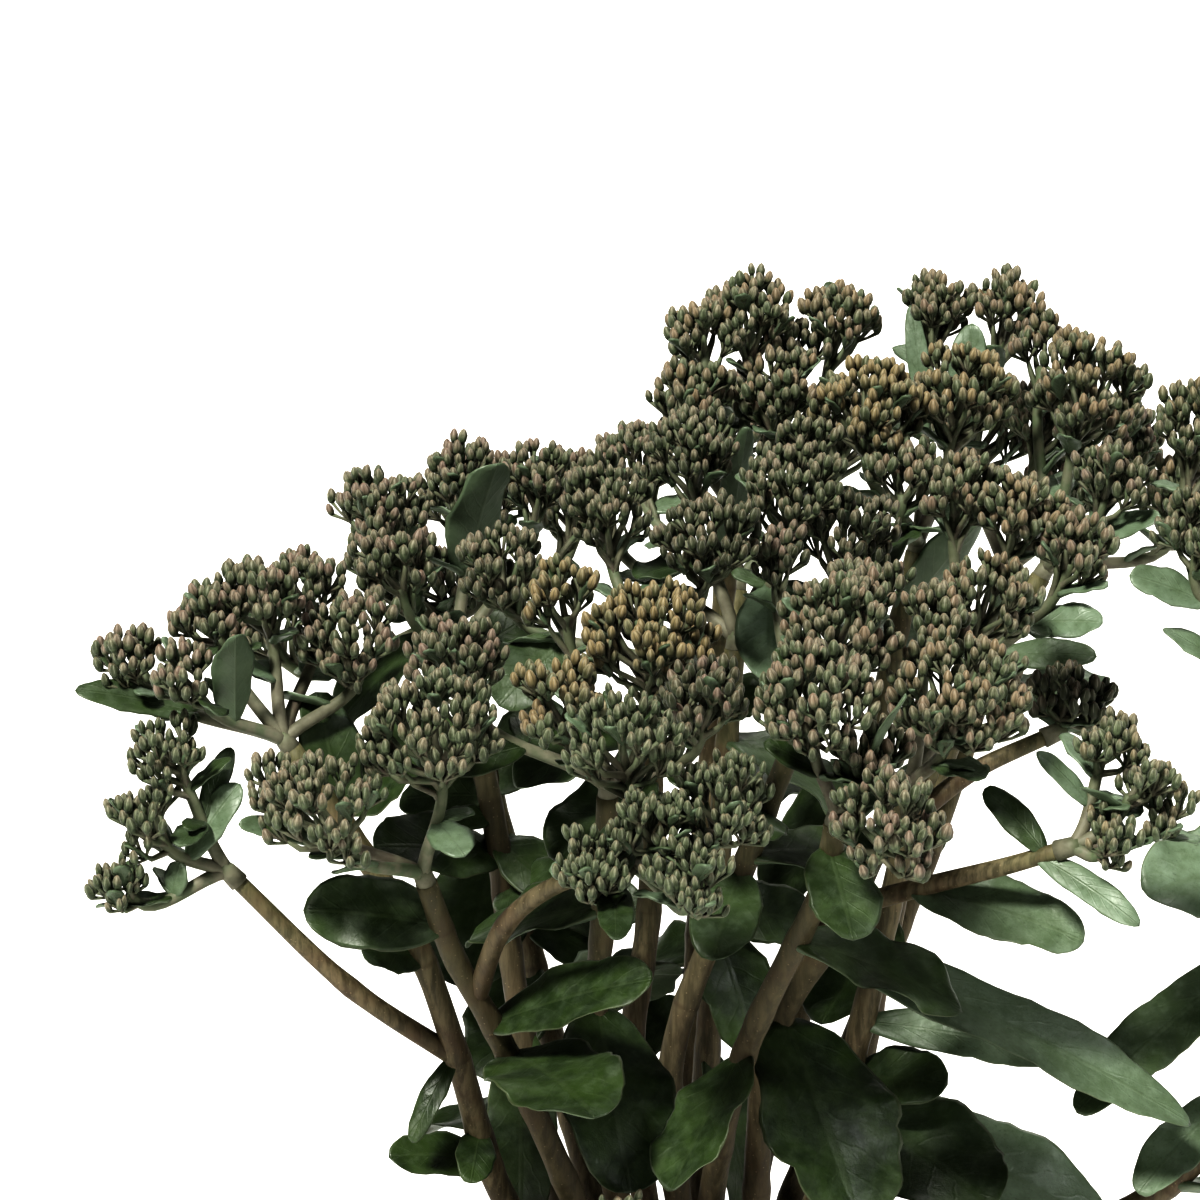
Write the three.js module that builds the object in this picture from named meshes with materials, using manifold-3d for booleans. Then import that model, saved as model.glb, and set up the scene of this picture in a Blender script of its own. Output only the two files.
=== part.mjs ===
// A tall stonecrop in bud, growing in a plain clay pot.
// Millimetres, +Z up. The pot's axis is Z, its foot stands at Z = 0, and the plant's front faces -Y.
import * as THREE from "three";
import { mergeVertices } from "three/addons/utils/BufferGeometryUtils.js";
import Module from "manifold-3d";

const wasm = await Module();
wasm.setup();

const DEG = Math.PI / 180;
const GAP = 0.3;
const SMALLEST = 1;

// Pot
const POT_HEIGHT = 145;
const RIM_RADIUS = 88;
const RIM_HEIGHT = 30;
const RIM_PROUD = 6;
const RIM_TAPER = 2;
const FOOT_RADIUS = 60;
const FLOOR = 8;
const MOUTH_RADIUS = 80;
const FLOOR_RADIUS = 53;
const POT_SIDES = 28;
const DRAIN = { count: 3, radius: 5, ring: 30, sides: 8 };

// Soil
const SOIL_LEVEL = 132;
const SOIL_MOUND = 3;
const SOIL_LUMP = 1.2;
const SOIL_RINGS = [0.68, 0.34];
const SOIL_SIDES = 18;

// Stems
const STEM_SIDES = 5;
const HOLE_SIDES = 6;
const STEM_STEP = 32;
const STEM_FOOT = 112;
const STEM_COLLAR = 139;
const STEM_ROOM = 1.4;
const FOOT_WIDTH = 4.5;
const FORK_WIDTH = 3.1;
const SIDE_WIDTH = 3;
const SIDE_FORK_WIDTH = 2.3;

// Flower heads
const STUB_SIDES = 4;
const BRANCH_SIDES = 3;
const BRANCH_STEPS = 2;
const BRANCH_WIDTH = 2.1;
const LEAN = 0.55;
const LEAN_FOCUS = new THREE.Vector3(10, 0, 150);
const HUB_DEPTH = 0.55;
const DOME_DEPTH = 0.7;
const DOME_SPAN = 112 * DEG;
const BUD_SPACING = 9.4;
const BUD_HOLLOW = 0.22;
const BUD_LIFT = [0.25, 0.55];

// Leaves
const BLADE_HALF = 0.8;
const ROOT_SWELL = 0.035;
const LEAF_CUP = 0.16;
const LEAF_WAVE = 0.05;
const LEAF_WAVES = 2.2;
const LEAF_DROOP = 14;
const LEAF_STATIONS = [0, 0.3, 0.6, 0.86];
const SMALL_STATIONS = [0, 0.45, 0.82];
const BRACT_STATIONS = [0, 0.58];
const SMALL_LEAF = 40;
const BRACT = 20;

// Each stem: its foot in the soil, the points it passes on the way to the fork below its flower head,
// its side shoots, which start from a height on it, and how many more leaves grow by rule.
// A leaf is [height of its foot on the shoot, tip x, tip y, tip z, width, roll].
const STEMS = {
  "01": {
    foot: [-24, -6],
    path: [[-36, -16, 165], [-52, -28, 200], [-62, -42, 243], [-76, -48, 285], [-106, -48, 333]],
    leaves: [
      [272, -87, -60, 279, 14, 50],
      [312, -100, -34, 345, 19, 0],
      [242, -74, -52, 220, 8, 20],
      [216, -58, -52, 208, 12, 20],
      [206, -81, -45, 213, 15, 40],
    ],
    side: [{ from: 241, path: [[-91, -52, 266], [-121, -60, 300]] }],
    more: 0,
  },
  "02": {
    foot: [-10, -24],
    path: [[-18, -36, 165], [-30, -50, 204], [-49, -72, 258], [-61, -80, 284], [-68, -88, 308]],
    leaves: [
      [294, -101, -84, 299, 22, 55],
      [262, -8, -94, 283, 22, -36],
    ],
    side: [
      { from: 271, path: [[-48, -90, 296], [-34, -102, 312], [-16, -116, 322]] },
      { from: 158, path: [[-16, -58, 176], [-17, -86, 202]] },
    ],
    more: 2,
  },
  "03": {
    foot: [-2, -12],
    path: [[-14, -30, 180], [-23, -45, 242], [-21, -52, 290], [-20, -56, 322]],
    leaves: [[258, -14, -86, 219, 35, 12]],
    more: 3,
  },
  "04": {
    foot: [2, 2],
    path: [[-8, -12, 180], [-13, -25, 237], [-8, -20, 280], [-8, -16, 345]],
    leaves: [[334, -45, -36, 318, 26, 10]],
    more: 3,
  },
  "05": {
    foot: [9, -14],
    path: [[2, -26, 180], [-2, -38, 240], [18, -50, 302], [30, -60, 338]],
    leaves: [
      [316, 19, -84, 320, 17, 30],
      [298, 8, -82, 284, 20, 10],
    ],
    more: 2,
  },
  "06": {
    foot: [15, -26],
    path: [[8, -40, 165], [9, -55, 206], [17, -75, 255], [36, -98, 309], [39, -105, 330]],
    leaves: [
      [254, -3, -104, 227, 29, -20],
      [322, 43, -126, 305, 21, 4],
    ],
    more: 2,
  },
  "07": {
    foot: [23, -12],
    path: [[22, -28, 180], [25, -45, 245], [42, -60, 285], [60, -66, 326]],
    leaves: [
      [254, 48, -84, 210, 46, 6],
      [278, 140, -64, 230, 23, -30],
    ],
    side: [
      {
        from: 292,
        path: [[66, -75, 303], [87, -85, 312], [100, -90, 318]],
        leaves: [
          [301, 107, -84, 290, 21, -36],
          [315, 119, -106, 302, 9, -38],
          [316, 80, -78, 331, 9, 40],
        ],
      },
    ],
    more: 1,
  },
  "08": {
    foot: [-20, 12],
    path: [[-34, 12, 180], [-46, 10, 240], [-52, 12, 291], [-62, 18, 338]],
    leaves: [
      [272, -30, -14, 280, 26, -30],
      [282, -86, -8, 292, 24, 36],
      [286, -22, 4, 262, 28, -20],
      [300, -80, 26, 295, 16, 50],
      [294, -66, 2, 296, 9, 45],
      [231, -45, -2, 173, 22, 0],
    ],
    more: 0,
  },
  "09": {
    foot: [6, 14],
    path: [[8, 8, 200], [12, 2, 290], [16, 6, 346]],
    leaves: [
      [264, 22, -14, 232, 24, -10],
      [270, 39, 2, 265, 20, -50],
      [225, 22, -6, 173, 20, 0],
    ],
    more: 3,
  },
  10: {
    foot: [26, 6],
    path: [[40, -2, 180], [56, -12, 257], [66, -15, 306], [80, -20, 345]],
    leaves: [
      [240, 109, -22, 233, 14, -50],
      [214, 88, -46, 198, 38, -24],
      [222, 76, -28, 228, 20, -45],
    ],
    side: [{ from: 303, path: [[82, -11, 315], [94, -8, 320], [104, -6, 324]] }],
    more: 0,
  },
  11: {
    foot: [0, 25],
    path: [[4, 34, 200], [10, 44, 300], [16, 52, 372]],
    leaves: [
      [352, 20, 34, 404, 10, 0],
      [320, 27, 40, 321, 16, -45],
      [225, -15, 42, 215, 20, 45],
    ],
    more: 4,
  },
  12: {
    foot: [14, 24],
    path: [[30, 34, 200], [56, 46, 300], [70, 54, 362]],
    leaves: [
      [300, 28, 22, 262, 30, 0],
      [342, 88, 50, 372, 16, 60],
    ],
    more: 4,
  },
  13: {
    foot: [35, 20],
    path: [[50, 24, 190], [62, 34, 251], [72, 40, 286], [87, 44, 323], [106, 48, 356]],
    leaves: [
      [255, 42, 10, 232, 30, 0],
      [332, 121, 30, 337, 10, -55],
      [200, 129, 16, 164, 34, -30],
    ],
    more: 0,
  },
  14: {
    foot: [35, -4],
    path: [[62, -8, 160], [112, -20, 178], [152, -30, 215], [166, -22, 285], [158, 0, 345]],
    leaves: [
      [292, 129, -40, 288, 30, 34],
      [267, 109, -60, 232, 19, 30],
      [226, 128, -50, 204, 17, 20],
      [338, 136, 2, 353, 10, 20],
    ],
    more: 2,
  },
  15: {
    foot: [-14, 27],
    path: [[-30, 40, 190], [-52, 56, 280], [-66, 62, 335]],
    leaves: [
      [275, -62, 24, 238, 36, 0],
      [236, -55, 32, 206, 30, 0],
      [288, -33, 58, 314, 22, -50],
      [325, -41, 62, 341, 16, -50],
      [262, -9, 44, 254, 19, -45],
      [250, -20, 46, 237, 15, -45],
    ],
    more: 2,
  },
  16: {
    foot: [24, 27],
    path: [[46, 52, 190], [84, 84, 280], [100, 100, 340]],
    leaves: [],
    more: 3,
  },
  17: {
    foot: [5, 40],
    path: [[8, 62, 190], [15, 94, 280], [20, 112, 335]],
    leaves: [],
    more: 4,
  },
};

// Each flower head: the stem that bears it, or its side shoot 1 or 2, its cymes [x, y, z, radius],
// and the larger leaves among them [cyme whose branch bears it, tip x, tip y, tip z, width, roll]
const HEADS = {
  "01": {
    stem: "01",
    cymes: [
      [-149, -45, 361, 9], [-128, -48, 372, 10], [-115, -42, 377, 12], [-90, -38, 364, 14],
      [-103, -20, 374, 11], [-133, -62, 361, 8],
    ],
    leaves: [
      [0, -164, -50, 350, 10, 45],
      [5, -119, -66, 370, 13, -20],
    ],
  },
  "02": {
    stem: "01",
    side: 1,
    cymes: [[-138, -62, 339, 10], [-144, -66, 321, 11], [-151, -70, 304, 8]],
    leaves: [
      [1, -119, -58, 326, 11, -40],
      [2, -135, -64, 306, 8, -40],
      [0, -122, -50, 334, 7, -40],
    ],
  },
  "03": {
    stem: "02",
    cymes: [[-66, -100, 355, 18], [-92, -110, 337, 17], [-105, -100, 342, 9]],
    leaves: [[2, -116, -106, 330, 8, 45]],
  },
  "04": {
    stem: "02",
    side: 1,
    cymes: [
      [-16, -134, 362, 15], [9, -133, 347, 14], [-24, -144, 334, 10], [0, -148, 331, 11],
      [-9, -140, 343, 10],
    ],
    leaves: [
      [2, -18, -163, 318, 10, 0],
      [2, -35, -138, 328, 9, 40],
    ],
  },
  "05": {
    stem: "03",
    cymes: [
      [-9, -62, 370, 18], [-32, -50, 378, 10], [-33, -78, 358, 12], [-61, -62, 364, 14],
      [5, -84, 359, 12],
    ],
    leaves: [[3, -63, -74, 334, 10, 45]],
  },
  "06": {
    stem: "04",
    cymes: [[-21, 5, 390, 13], [7, -33, 390, 14], [-50, -6, 375, 13]],
    leaves: [[2, -50, -24, 338, 20, 40]],
  },
  "07": { stem: "05", cymes: [[41, -85, 380, 16], [27, -20, 382, 8], [51, -46, 378, 11]] },
  "08": {
    stem: "06",
    cymes: [[33, -122, 371, 16], [51, -134, 341, 15], [47, -118, 354, 10]],
    leaves: [
      [0, 20, -112, 354, 9, 35],
      [2, 55, -134, 373, 8, -35],
    ],
  },
  "09": { stem: "07", cymes: [[72, -90, 363, 19], [82, -47, 377, 14], [66, -71, 379, 9]] },
  10: {
    stem: "07",
    side: 1,
    cymes: [[112, -86, 348, 9], [119, -94, 340, 9], [111, -98, 326, 9], [126, -92, 331, 7]],
    leaves: [[0, 93, -84, 343, 6, 50]],
  },
  11: {
    stem: "08",
    cymes: [[-84, 17, 385, 15], [-62, 32, 395, 9], [-79, -13, 377, 12], [-41, 40, 390, 10]],
    leaves: [
      [1, -51, 14, 398, 20, 0],
      [2, -98, -16, 326, 26, 0],
    ],
  },
  12: {
    stem: "09",
    cymes: [[32, 0, 395, 16], [4, 18, 403, 13], [-22, 38, 388, 9], [36, 20, 404, 9], [47, 4, 383, 14]],
    leaves: [
      [1, -12, 0, 368, 18, 0],
      [0, 25, -24, 345, 20, 0],
    ],
  },
  13: {
    stem: "10",
    cymes: [[77, -16, 401, 11], [93, -22, 396, 12], [108, -28, 387, 10]],
    leaves: [[2, 115, -36, 365, 12, -45]],
  },
  14: { stem: "10", side: 1, cymes: [[110, -5, 336, 12]] },
  15: {
    stem: "11",
    cymes: [
      [22, 62, 434, 12], [8, 56, 429, 10], [47, 72, 430, 12], [4, 46, 411, 12], [29, 53, 413, 12],
      [35, 66, 421, 9],
    ],
  },
  16: {
    stem: "12",
    cymes: [
      [55, 40, 410, 16], [82, 46, 414, 15], [77, 84, 432, 10], [98, 88, 429, 12], [65, 26, 394, 11],
    ],
    leaves: [
      [2, 69, 80, 430, 7, 30],
      [3, 87, 78, 425, 13, 0],
      [4, 50, 14, 362, 28, -20],
    ],
  },
  17: {
    stem: "13",
    cymes: [[119, 56, 413, 17], [108, 66, 422, 10], [123, 25, 393, 11], [151, 64, 378, 15]],
    leaves: [[2, 137, 20, 381, 9, -50]],
  },
  18: {
    stem: "14",
    cymes: [[149, 32, 408, 14], [148, 2, 384, 14], [174, 22, 395, 15]],
    leaves: [[1, 126, 0, 369, 12, 45]],
  },
  19: {
    stem: "15",
    cymes: [
      [-60, 70, 378, 16], [-84, 55, 365, 12], [-30, 95, 372, 15], [-118, 28, 350, 13],
      [-69, 60, 353, 11],
    ],
  },
  20: {
    stem: "16",
    cymes: [[95, 130, 386, 17], [130, 100, 388, 16], [122, 142, 364, 12], [113, 112, 392, 12]],
  },
  21: { stem: "17", cymes: [[15, 122, 390, 17], [54, 134, 386, 15], [-10, 150, 370, 13]] },
  22: { stem: "02", side: 2, cymes: [[-17, -95, 217, 9]] },
};

const stemNames = Object.keys(STEMS).sort();
const headNames = Object.keys(HEADS).sort();

const material = (color, roughness) => new THREE.MeshStandardMaterial({ color, roughness, metalness: 0 });
const clay = material(0xb5653f, 0.9);
const earth = material(0x33251b, 1);
const leafGreen = material(0x4f6344, 0.6);
const budBrown = material(0x7d6a5c, 0.7);

// A repeatable draw of numbers from 0 to 1
function drawFrom(seed) {
  let state = seed;
  return () => {
    state = (Math.imul(state, 1664525) + 1013904223) >>> 0;
    return state / 4294967296;
  };
}

const vector = (p) => new THREE.Vector3(p[0], p[1], p[2]);

// A geometry as a solid with shared corners
function solidOf(geometry) {
  const bare = geometry.clone();
  bare.deleteAttribute("normal");
  bare.deleteAttribute("uv");
  const merged = mergeVertices(bare, 1e-4);
  return new wasm.Manifold(
    new wasm.Mesh({
      numProp: 3,
      vertProperties: new Float32Array(merged.attributes.position.array),
      triVerts: new Uint32Array(merged.index.array),
    }),
  );
}

function solidFrom(points, triangles) {
  const geometry = new THREE.BufferGeometry().setFromPoints(points);
  geometry.setIndex(triangles);
  return solidOf(geometry);
}

function meshOf(solid, name, look) {
  const { vertProperties, triVerts } = solid.getMesh();
  const geometry = new THREE.BufferGeometry();
  geometry.setAttribute("position", new THREE.BufferAttribute(vertProperties, 3));
  geometry.setIndex(new THREE.BufferAttribute(triVerts, 1));
  geometry.computeVertexNormals();
  const mesh = new THREE.Mesh(geometry, look);
  mesh.name = name;
  return mesh;
}

// Joins pieces into one body, without the pockets that they close off between them
function joined(pieces) {
  const whole = pieces.reduce((sum, piece) => sum.add(piece)).simplify(SMALLEST);
  const larger = (most, shell) => (shell.volume() > most.volume() ? shell : most);
  return whole.decompose().reduce(larger);
}

// Adds the wall of a tube along a row of points, closed at its start; gives back its last ring of corners
function addTube(points, triangles, spine, startRadius, endRadius, sides) {
  const last = spine.length - 1;
  const across = new THREE.Vector3(1, 0, 0);
  let ring = [];
  spine.forEach((centre, i) => {
    const along = spine[Math.min(i + 1, last)].clone().sub(spine[Math.max(i - 1, 0)]).normalize();
    across.addScaledVector(along, -across.dot(along)).normalize();
    const up = new THREE.Vector3().crossVectors(along, across);
    const radius = startRadius + ((endRadius - startRadius) * i) / last;
    const before = ring;
    ring = [];
    for (let k = 0; k < sides; k++) {
      const angle = (2 * Math.PI * k) / sides;
      const corner = centre.clone().addScaledVector(across, radius * Math.cos(angle));
      ring.push(points.push(corner.addScaledVector(up, radius * Math.sin(angle))) - 1);
    }
    for (let k = 0; k < before.length; k++) {
      const next = (k + 1) % sides;
      triangles.push(before[k], before[next], ring[next], before[k], ring[next], ring[k]);
    }
    for (let k = 1; i === 0 && k < sides - 1; k++) {
      triangles.push(ring[0], ring[k + 1], ring[k]);
    }
  });
  return ring;
}

function tube(spine, startRadius, endRadius, sides) {
  const points = [];
  const triangles = [];
  const end = addTube(points, triangles, spine, startRadius, endRadius, sides);
  for (let k = 1; k < sides - 1; k++) {
    triangles.push(end[0], end[k], end[k + 1]);
  }
  return solidFrom(points, triangles);
}

// The shoots, each with the row of points it runs through

function spineOf(places) {
  const curve = new THREE.CatmullRomCurve3(places.map(vector), false, "catmullrom", 0.5);
  return curve.getSpacedPoints(Math.max(3, Math.round(curve.getLength() / STEM_STEP)));
}

// Where a rising spine reaches a height
function atHeight(spine, height) {
  const i = spine.findIndex((point, k) => k > 0 && point.z > height);
  const [low, high] = [spine[i - 1], spine[i]];
  return low.clone().lerp(high, (height - low.z) / (high.z - low.z));
}

function shootsOf({ foot: [x, y], path, leaves, side = [] }) {
  const above = spineOf([[x, y, STEM_COLLAR], ...path]);
  const main = [new THREE.Vector3(x, y, STEM_FOOT), ...above];
  const made = [{ spine: main, start: FOOT_WIDTH, end: FORK_WIDTH, leaves }];
  for (const { from, path: sidePath, leaves: sideLeaves = [] } of side) {
    const spine = spineOf([atHeight(main, from).toArray(), ...sidePath]);
    made.push({ spine, start: SIDE_WIDTH, end: SIDE_FORK_WIDTH, leaves: sideLeaves });
  }
  return made;
}

const shoots = {};
for (const name of stemNames) {
  shoots[name] = shootsOf(STEMS[name]);
}

// A cyme's place, the way it faces, and the hub that its flower stalks spread from
function cymeFrame([x, y, z, radius]) {
  const centre = new THREE.Vector3(x, y, z);
  const facing = centre.clone().sub(LEAN_FOCUS).normalize().multiplyScalar(LEAN);
  facing.z += 1 - LEAN;
  facing.normalize();
  const u = new THREE.Vector3(0, 1, 0).cross(facing).normalize();
  const v = new THREE.Vector3().crossVectors(facing, u);
  const hub = centre.clone().addScaledVector(facing, -(HUB_DEPTH * radius + 2));
  return { centre, facing, u, v, hub, radius };
}

function branchOf(fork, top, cyme) {
  const reach = fork.distanceTo(cyme.hub);
  const bend = cyme.hub.clone().addScaledVector(cyme.facing, -0.4 * reach);
  const root = fork.clone().addScaledVector(top, 2.5);
  const leave = root.clone().lerp(bend, 0.3).addScaledVector(top, 0.15 * reach);
  return new THREE.CubicBezierCurve3(root, leave, bend, cyme.hub).getPoints(BRANCH_STEPS);
}

function headOf({ stem, side = 0, cymes, leaves = [] }) {
  const spine = shoots[stem][side].spine;
  const end = spine[spine.length - 1];
  const top = end.clone().sub(spine[spine.length - 2]).normalize();
  const fork = end.clone().addScaledVector(top, GAP);
  const frames = cymes.map(cymeFrame);
  const branches = frames.map((cyme) => branchOf(fork, top, cyme));
  return { fork, top, cymes: frames, branches, leaves };
}

const heads = {};
for (const name of headNames) {
  heads[name] = headOf(HEADS[name]);
}

// A leaf: its midrib is an arc that starts at a pitch and droops, and its blade is turned about it by roll
function leafFrame(leaf, s) {
  const bend = leaf.droop * DEG;
  const start = leaf.pitch * DEG;
  const pitch = start - bend * s;
  const out = (leaf.length * (Math.sin(start) - Math.sin(pitch))) / bend;
  const rise = (leaf.length * (Math.cos(pitch) - Math.cos(start))) / bend;
  const ahead = new THREE.Vector3(Math.cos(leaf.azimuth * DEG), Math.sin(leaf.azimuth * DEG), 0);
  const rib = leaf.base.clone().addScaledVector(ahead, out);
  rib.z += rise;
  const flatUp = ahead.clone().multiplyScalar(-Math.sin(pitch));
  flatUp.z += Math.cos(pitch);
  const along = ahead.clone().multiplyScalar(Math.cos(pitch));
  along.z += Math.sin(pitch);
  const flatSide = new THREE.Vector3().crossVectors(along, flatUp);
  const turn = leaf.roll * DEG;
  const side = flatSide.clone().multiplyScalar(Math.cos(turn)).addScaledVector(flatUp, Math.sin(turn));
  const face = flatUp.multiplyScalar(Math.cos(turn)).addScaledVector(flatSide, -Math.sin(turn));
  return { rib, side, face };
}

// The leaf whose midrib runs from its base to a tip
function leafTo(base, tip, width, roll) {
  const chord = tip.clone().sub(base);
  const half = (LEAF_DROOP / 2) * DEG;
  return {
    base,
    azimuth: Math.atan2(chord.y, chord.x) / DEG,
    pitch: Math.asin(chord.z / chord.length()) / DEG + LEAF_DROOP / 2,
    length: (chord.length() * half) / Math.sin(half),
    width,
    droop: LEAF_DROOP,
    roll,
    phase: base.z / 40,
  };
}

// Half the blade's width at s: narrow at the foot, widest past the middle, blunt at the tip
function halfWidth(leaf, s) {
  const shape = Math.pow(s + 0.03, 0.62) * Math.pow(1.02 - s, 0.5);
  return (leaf.width / 2) * Math.min(1, shape / 0.489);
}

function edgePoint(leaf, s, sign) {
  const { rib, side, face } = leafFrame(leaf, s);
  const half = halfWidth(leaf, s);
  const turns = LEAF_WAVES * s + leaf.phase + 0.2 * sign;
  const wave = LEAF_WAVE * leaf.width * Math.min(1, 3 * s) * Math.sin(2 * Math.PI * turns);
  return rib.addScaledVector(side, sign * half).addScaledVector(face, LEAF_CUP * half + wave);
}

// The blade as two faces that meet in a sharp margin, thickest at the midrib and at its foot in the shoot
function blade(leaf, stations) {
  const points = [];
  const triangles = [0, 3, 1, 1, 3, 2];
  for (const s of stations) {
    const { rib, face } = leafFrame(leaf, s);
    const thick = BLADE_HALF * (1.1 - 0.5 * s) + ROOT_SWELL * leaf.width * Math.pow(1 - s, 6);
    points.push(edgePoint(leaf, s, -1));
    points.push(rib.clone().addScaledVector(face, thick));
    points.push(edgePoint(leaf, s, 1));
    points.push(rib.clone().addScaledVector(face, -thick));
  }
  const tip = points.push(leafFrame(leaf, 1).rib) - 1;
  for (let i = 0; i < stations.length; i++) {
    for (let k = 0; k < 4; k++) {
      const a = 4 * i + k;
      const b = 4 * i + ((k + 1) % 4);
      if (i === stations.length - 1) {
        triangles.push(a, b, tip);
      } else if (k % 2 === 0) {
        triangles.push(a, b, a + 4, b, b + 4, a + 4);
      } else {
        triangles.push(a, b, b + 4, a, b + 4, a + 4);
      }
    }
  }
  return solidFrom(points, triangles);
}

function bladeOf(leaf) {
  if (leaf.length < BRACT) return blade(leaf, BRACT_STATIONS);
  return blade(leaf, leaf.length < SMALL_LEAF ? SMALL_STATIONS : LEAF_STATIONS);
}

// Balls along every shoot and branch, in every cyme and on every leaf, which leaves keep clear of
const BALL_STEP = 6;
const LEAF_REACH = [0.35, 0.55, 0.75, 0.92, 1];
const LEAF_BALL = 5;
const SMALL_BALL = 3;
const SHOOT_ROOM = 2.5;
const CYME_ROOM = 3;
const POT_ROOM = 6;
const balls = [];

function addSpineBalls(spine, radius, owner) {
  spine.slice(1).forEach((high, i) => {
    const count = Math.ceil(high.distanceTo(spine[i]) / BALL_STEP);
    for (let k = 0; k <= count; k++) {
      balls.push({ centre: spine[i].clone().lerp(high, k / count), radius: radius + SHOOT_ROOM, owner });
    }
  });
}

const ballOf = (leaf) => (leaf.length < SMALL_LEAF ? SMALL_BALL : LEAF_BALL);

function leafSamples(leaf) {
  const samples = [];
  for (const s of LEAF_REACH) {
    for (const share of [-0.75, 0, 0.75]) {
      const { rib, side } = leafFrame(leaf, s);
      samples.push(rib.addScaledVector(side, share * halfWidth(leaf, s)));
    }
  }
  return samples;
}

function isAbovePot(point) {
  const overRim = Math.hypot(point.x, point.y) < RIM_RADIUS + POT_ROOM;
  return point.z > (overRim ? POT_HEIGHT : 0) + POT_ROOM;
}

function isClear(leaf, owner) {
  const room = ballOf(leaf);
  const clearOf = (point) => (ball) =>
    ball.owner === owner || point.distanceTo(ball.centre) > ball.radius + room;
  return leafSamples(leaf).every((point) => isAbovePot(point) && balls.every(clearOf(point)));
}

function addLeafBalls(leaf) {
  for (const centre of leafSamples(leaf)) {
    balls.push({ centre, radius: ballOf(leaf), owner: "leaf" });
  }
}

// Turns a leaf aside from the azimuth it wants, as little as clears everything else, or leaves it out
const SWINGS = [0, 25, -25, 50, -50, 80, -80, 115, -115, 150, -150];

function swungClear(leaf, wanted, owner) {
  const swing = SWINGS.find((turn) => isClear({ ...leaf, azimuth: wanted + turn }, owner));
  if (swing === undefined) return [];
  const placed = { ...leaf, azimuth: wanted + swing };
  addLeafBalls(placed);
  return [placed];
}

for (const name of stemNames) {
  for (const { spine, start } of shoots[name]) addSpineBalls(spine, start, `stem ${name}`);
}
for (const name of headNames) {
  const { branches, cymes } = heads[name];
  for (const branch of branches) addSpineBalls(branch, BRANCH_WIDTH, `head ${name}`);
  for (const { centre, radius } of cymes) {
    balls.push({ centre, radius: radius + CYME_ROOM, owner: `head ${name}` });
  }
}

const leaves = {};
for (const name of stemNames) {
  leaves[name] = [];
  for (const { spine, leaves: placed } of shoots[name]) {
    for (const [height, x, y, z, width, roll] of placed) {
      leaves[name].push(leafTo(atHeight(spine, height), new THREE.Vector3(x, y, z), width, roll));
    }
  }
  leaves[name].forEach(addLeafBalls);
}

// The other leaves climb each stem by the golden angle, mostly on its outer side, shorter towards the top
const GOLDEN = 137.5;
const LOWEST_LEAF = 160;
const LEAF_LONGEST = 68;
const LEAF_SHORTENING = 0.11;
const LEAF_SHAPE = 0.66;

for (const name of stemNames) {
  const { more } = STEMS[name];
  const draw = drawFrom(100 + Number(name));
  const main = shoots[name][0].spine;
  const end = main[main.length - 1];
  const range = end.z - 12 - LOWEST_LEAF;
  const outward = Math.atan2(end.y, end.x) / DEG;
  for (let i = 0; i < more; i++) {
    const rise = (range * (i + 0.3 + 0.5 * draw())) / more;
    const length = LEAF_LONGEST - LEAF_SHORTENING * rise - 12 * draw();
    const wanted = outward + 0.4 * (((i * GOLDEN + 180) % 360) - 180) + 20 * draw();
    const leaf = {
      base: atHeight(main, LOWEST_LEAF + rise),
      pitch: 18 - 34 * draw(),
      length,
      width: LEAF_SHAPE * length,
      droop: 14 + 24 * draw(),
      roll: 36 * draw() - 18,
      phase: draw(),
    };
    leaves[name].push(...swungClear(leaf, wanted, `stem ${name}`));
  }
}

// The leaves among the flowers: those given, and a small one on every other branch
const bracts = {};
for (const name of headNames) {
  const head = heads[name];
  const draw = drawFrom(500 + Number(name));
  bracts[name] = head.leaves.map(([branch, x, y, z, width, roll]) =>
    leafTo(head.branches[branch][1], new THREE.Vector3(x, y, z), width, roll),
  );
  for (let i = 0; i < head.cymes.length; i += 2) {
    const cyme = head.cymes[i];
    const length = 9 + 0.45 * cyme.radius + 3 * draw();
    const outward = Math.atan2(cyme.centre.y - head.fork.y, cyme.centre.x - head.fork.x) / DEG;
    const leaf = {
      base: head.branches[i][BRANCH_STEPS - 1],
      pitch: 20 - 30 * draw(),
      length,
      width: LEAF_SHAPE * length,
      droop: 10,
      roll: 50 * draw() - 25,
      phase: draw(),
    };
    bracts[name].push(...swungClear(leaf, outward + 140 * draw() - 70, `head ${name}`));
  }
}

// Takes a point of the square from -1 to 1 to the unit disc, square rings to round ones
function toDisc(x, y) {
  const reach = Math.max(Math.abs(x), Math.abs(y));
  const quarter = Math.round(Math.atan2(y, x) / (Math.PI / 2)) * (Math.PI / 2);
  const across = y * Math.cos(quarter) - x * Math.sin(quarter);
  const angle = reach ? quarter + ((across / reach) * Math.PI) / 4 : 0;
  return { reach, angle };
}

const turnOf = ({ angle }) => (angle + 4 * Math.PI) % (2 * Math.PI);

// Joins an upper and a lower ring of corners, each of them sorted by its angle
function stitch(upper, lower, triangles) {
  const angleAt = (list, k) => turnOf(list[k % list.length]) + 2 * Math.PI * Math.floor(k / list.length);
  let a = 0;
  let b = 0;
  while (a < upper.length || b < lower.length) {
    const here = upper[a % upper.length].index;
    const below = lower[b % lower.length].index;
    if (b >= lower.length || (a < upper.length && angleAt(upper, a + 1) <= angleAt(lower, b + 1))) {
      a += 1;
      triangles.push(here, below, upper[a % upper.length].index);
    } else {
      b += 1;
      triangles.push(here, below, lower[b % lower.length].index);
    }
  }
}

function budsAcross(radius) {
  return Math.round((2 * radius) / BUD_SPACING);
}

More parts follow.
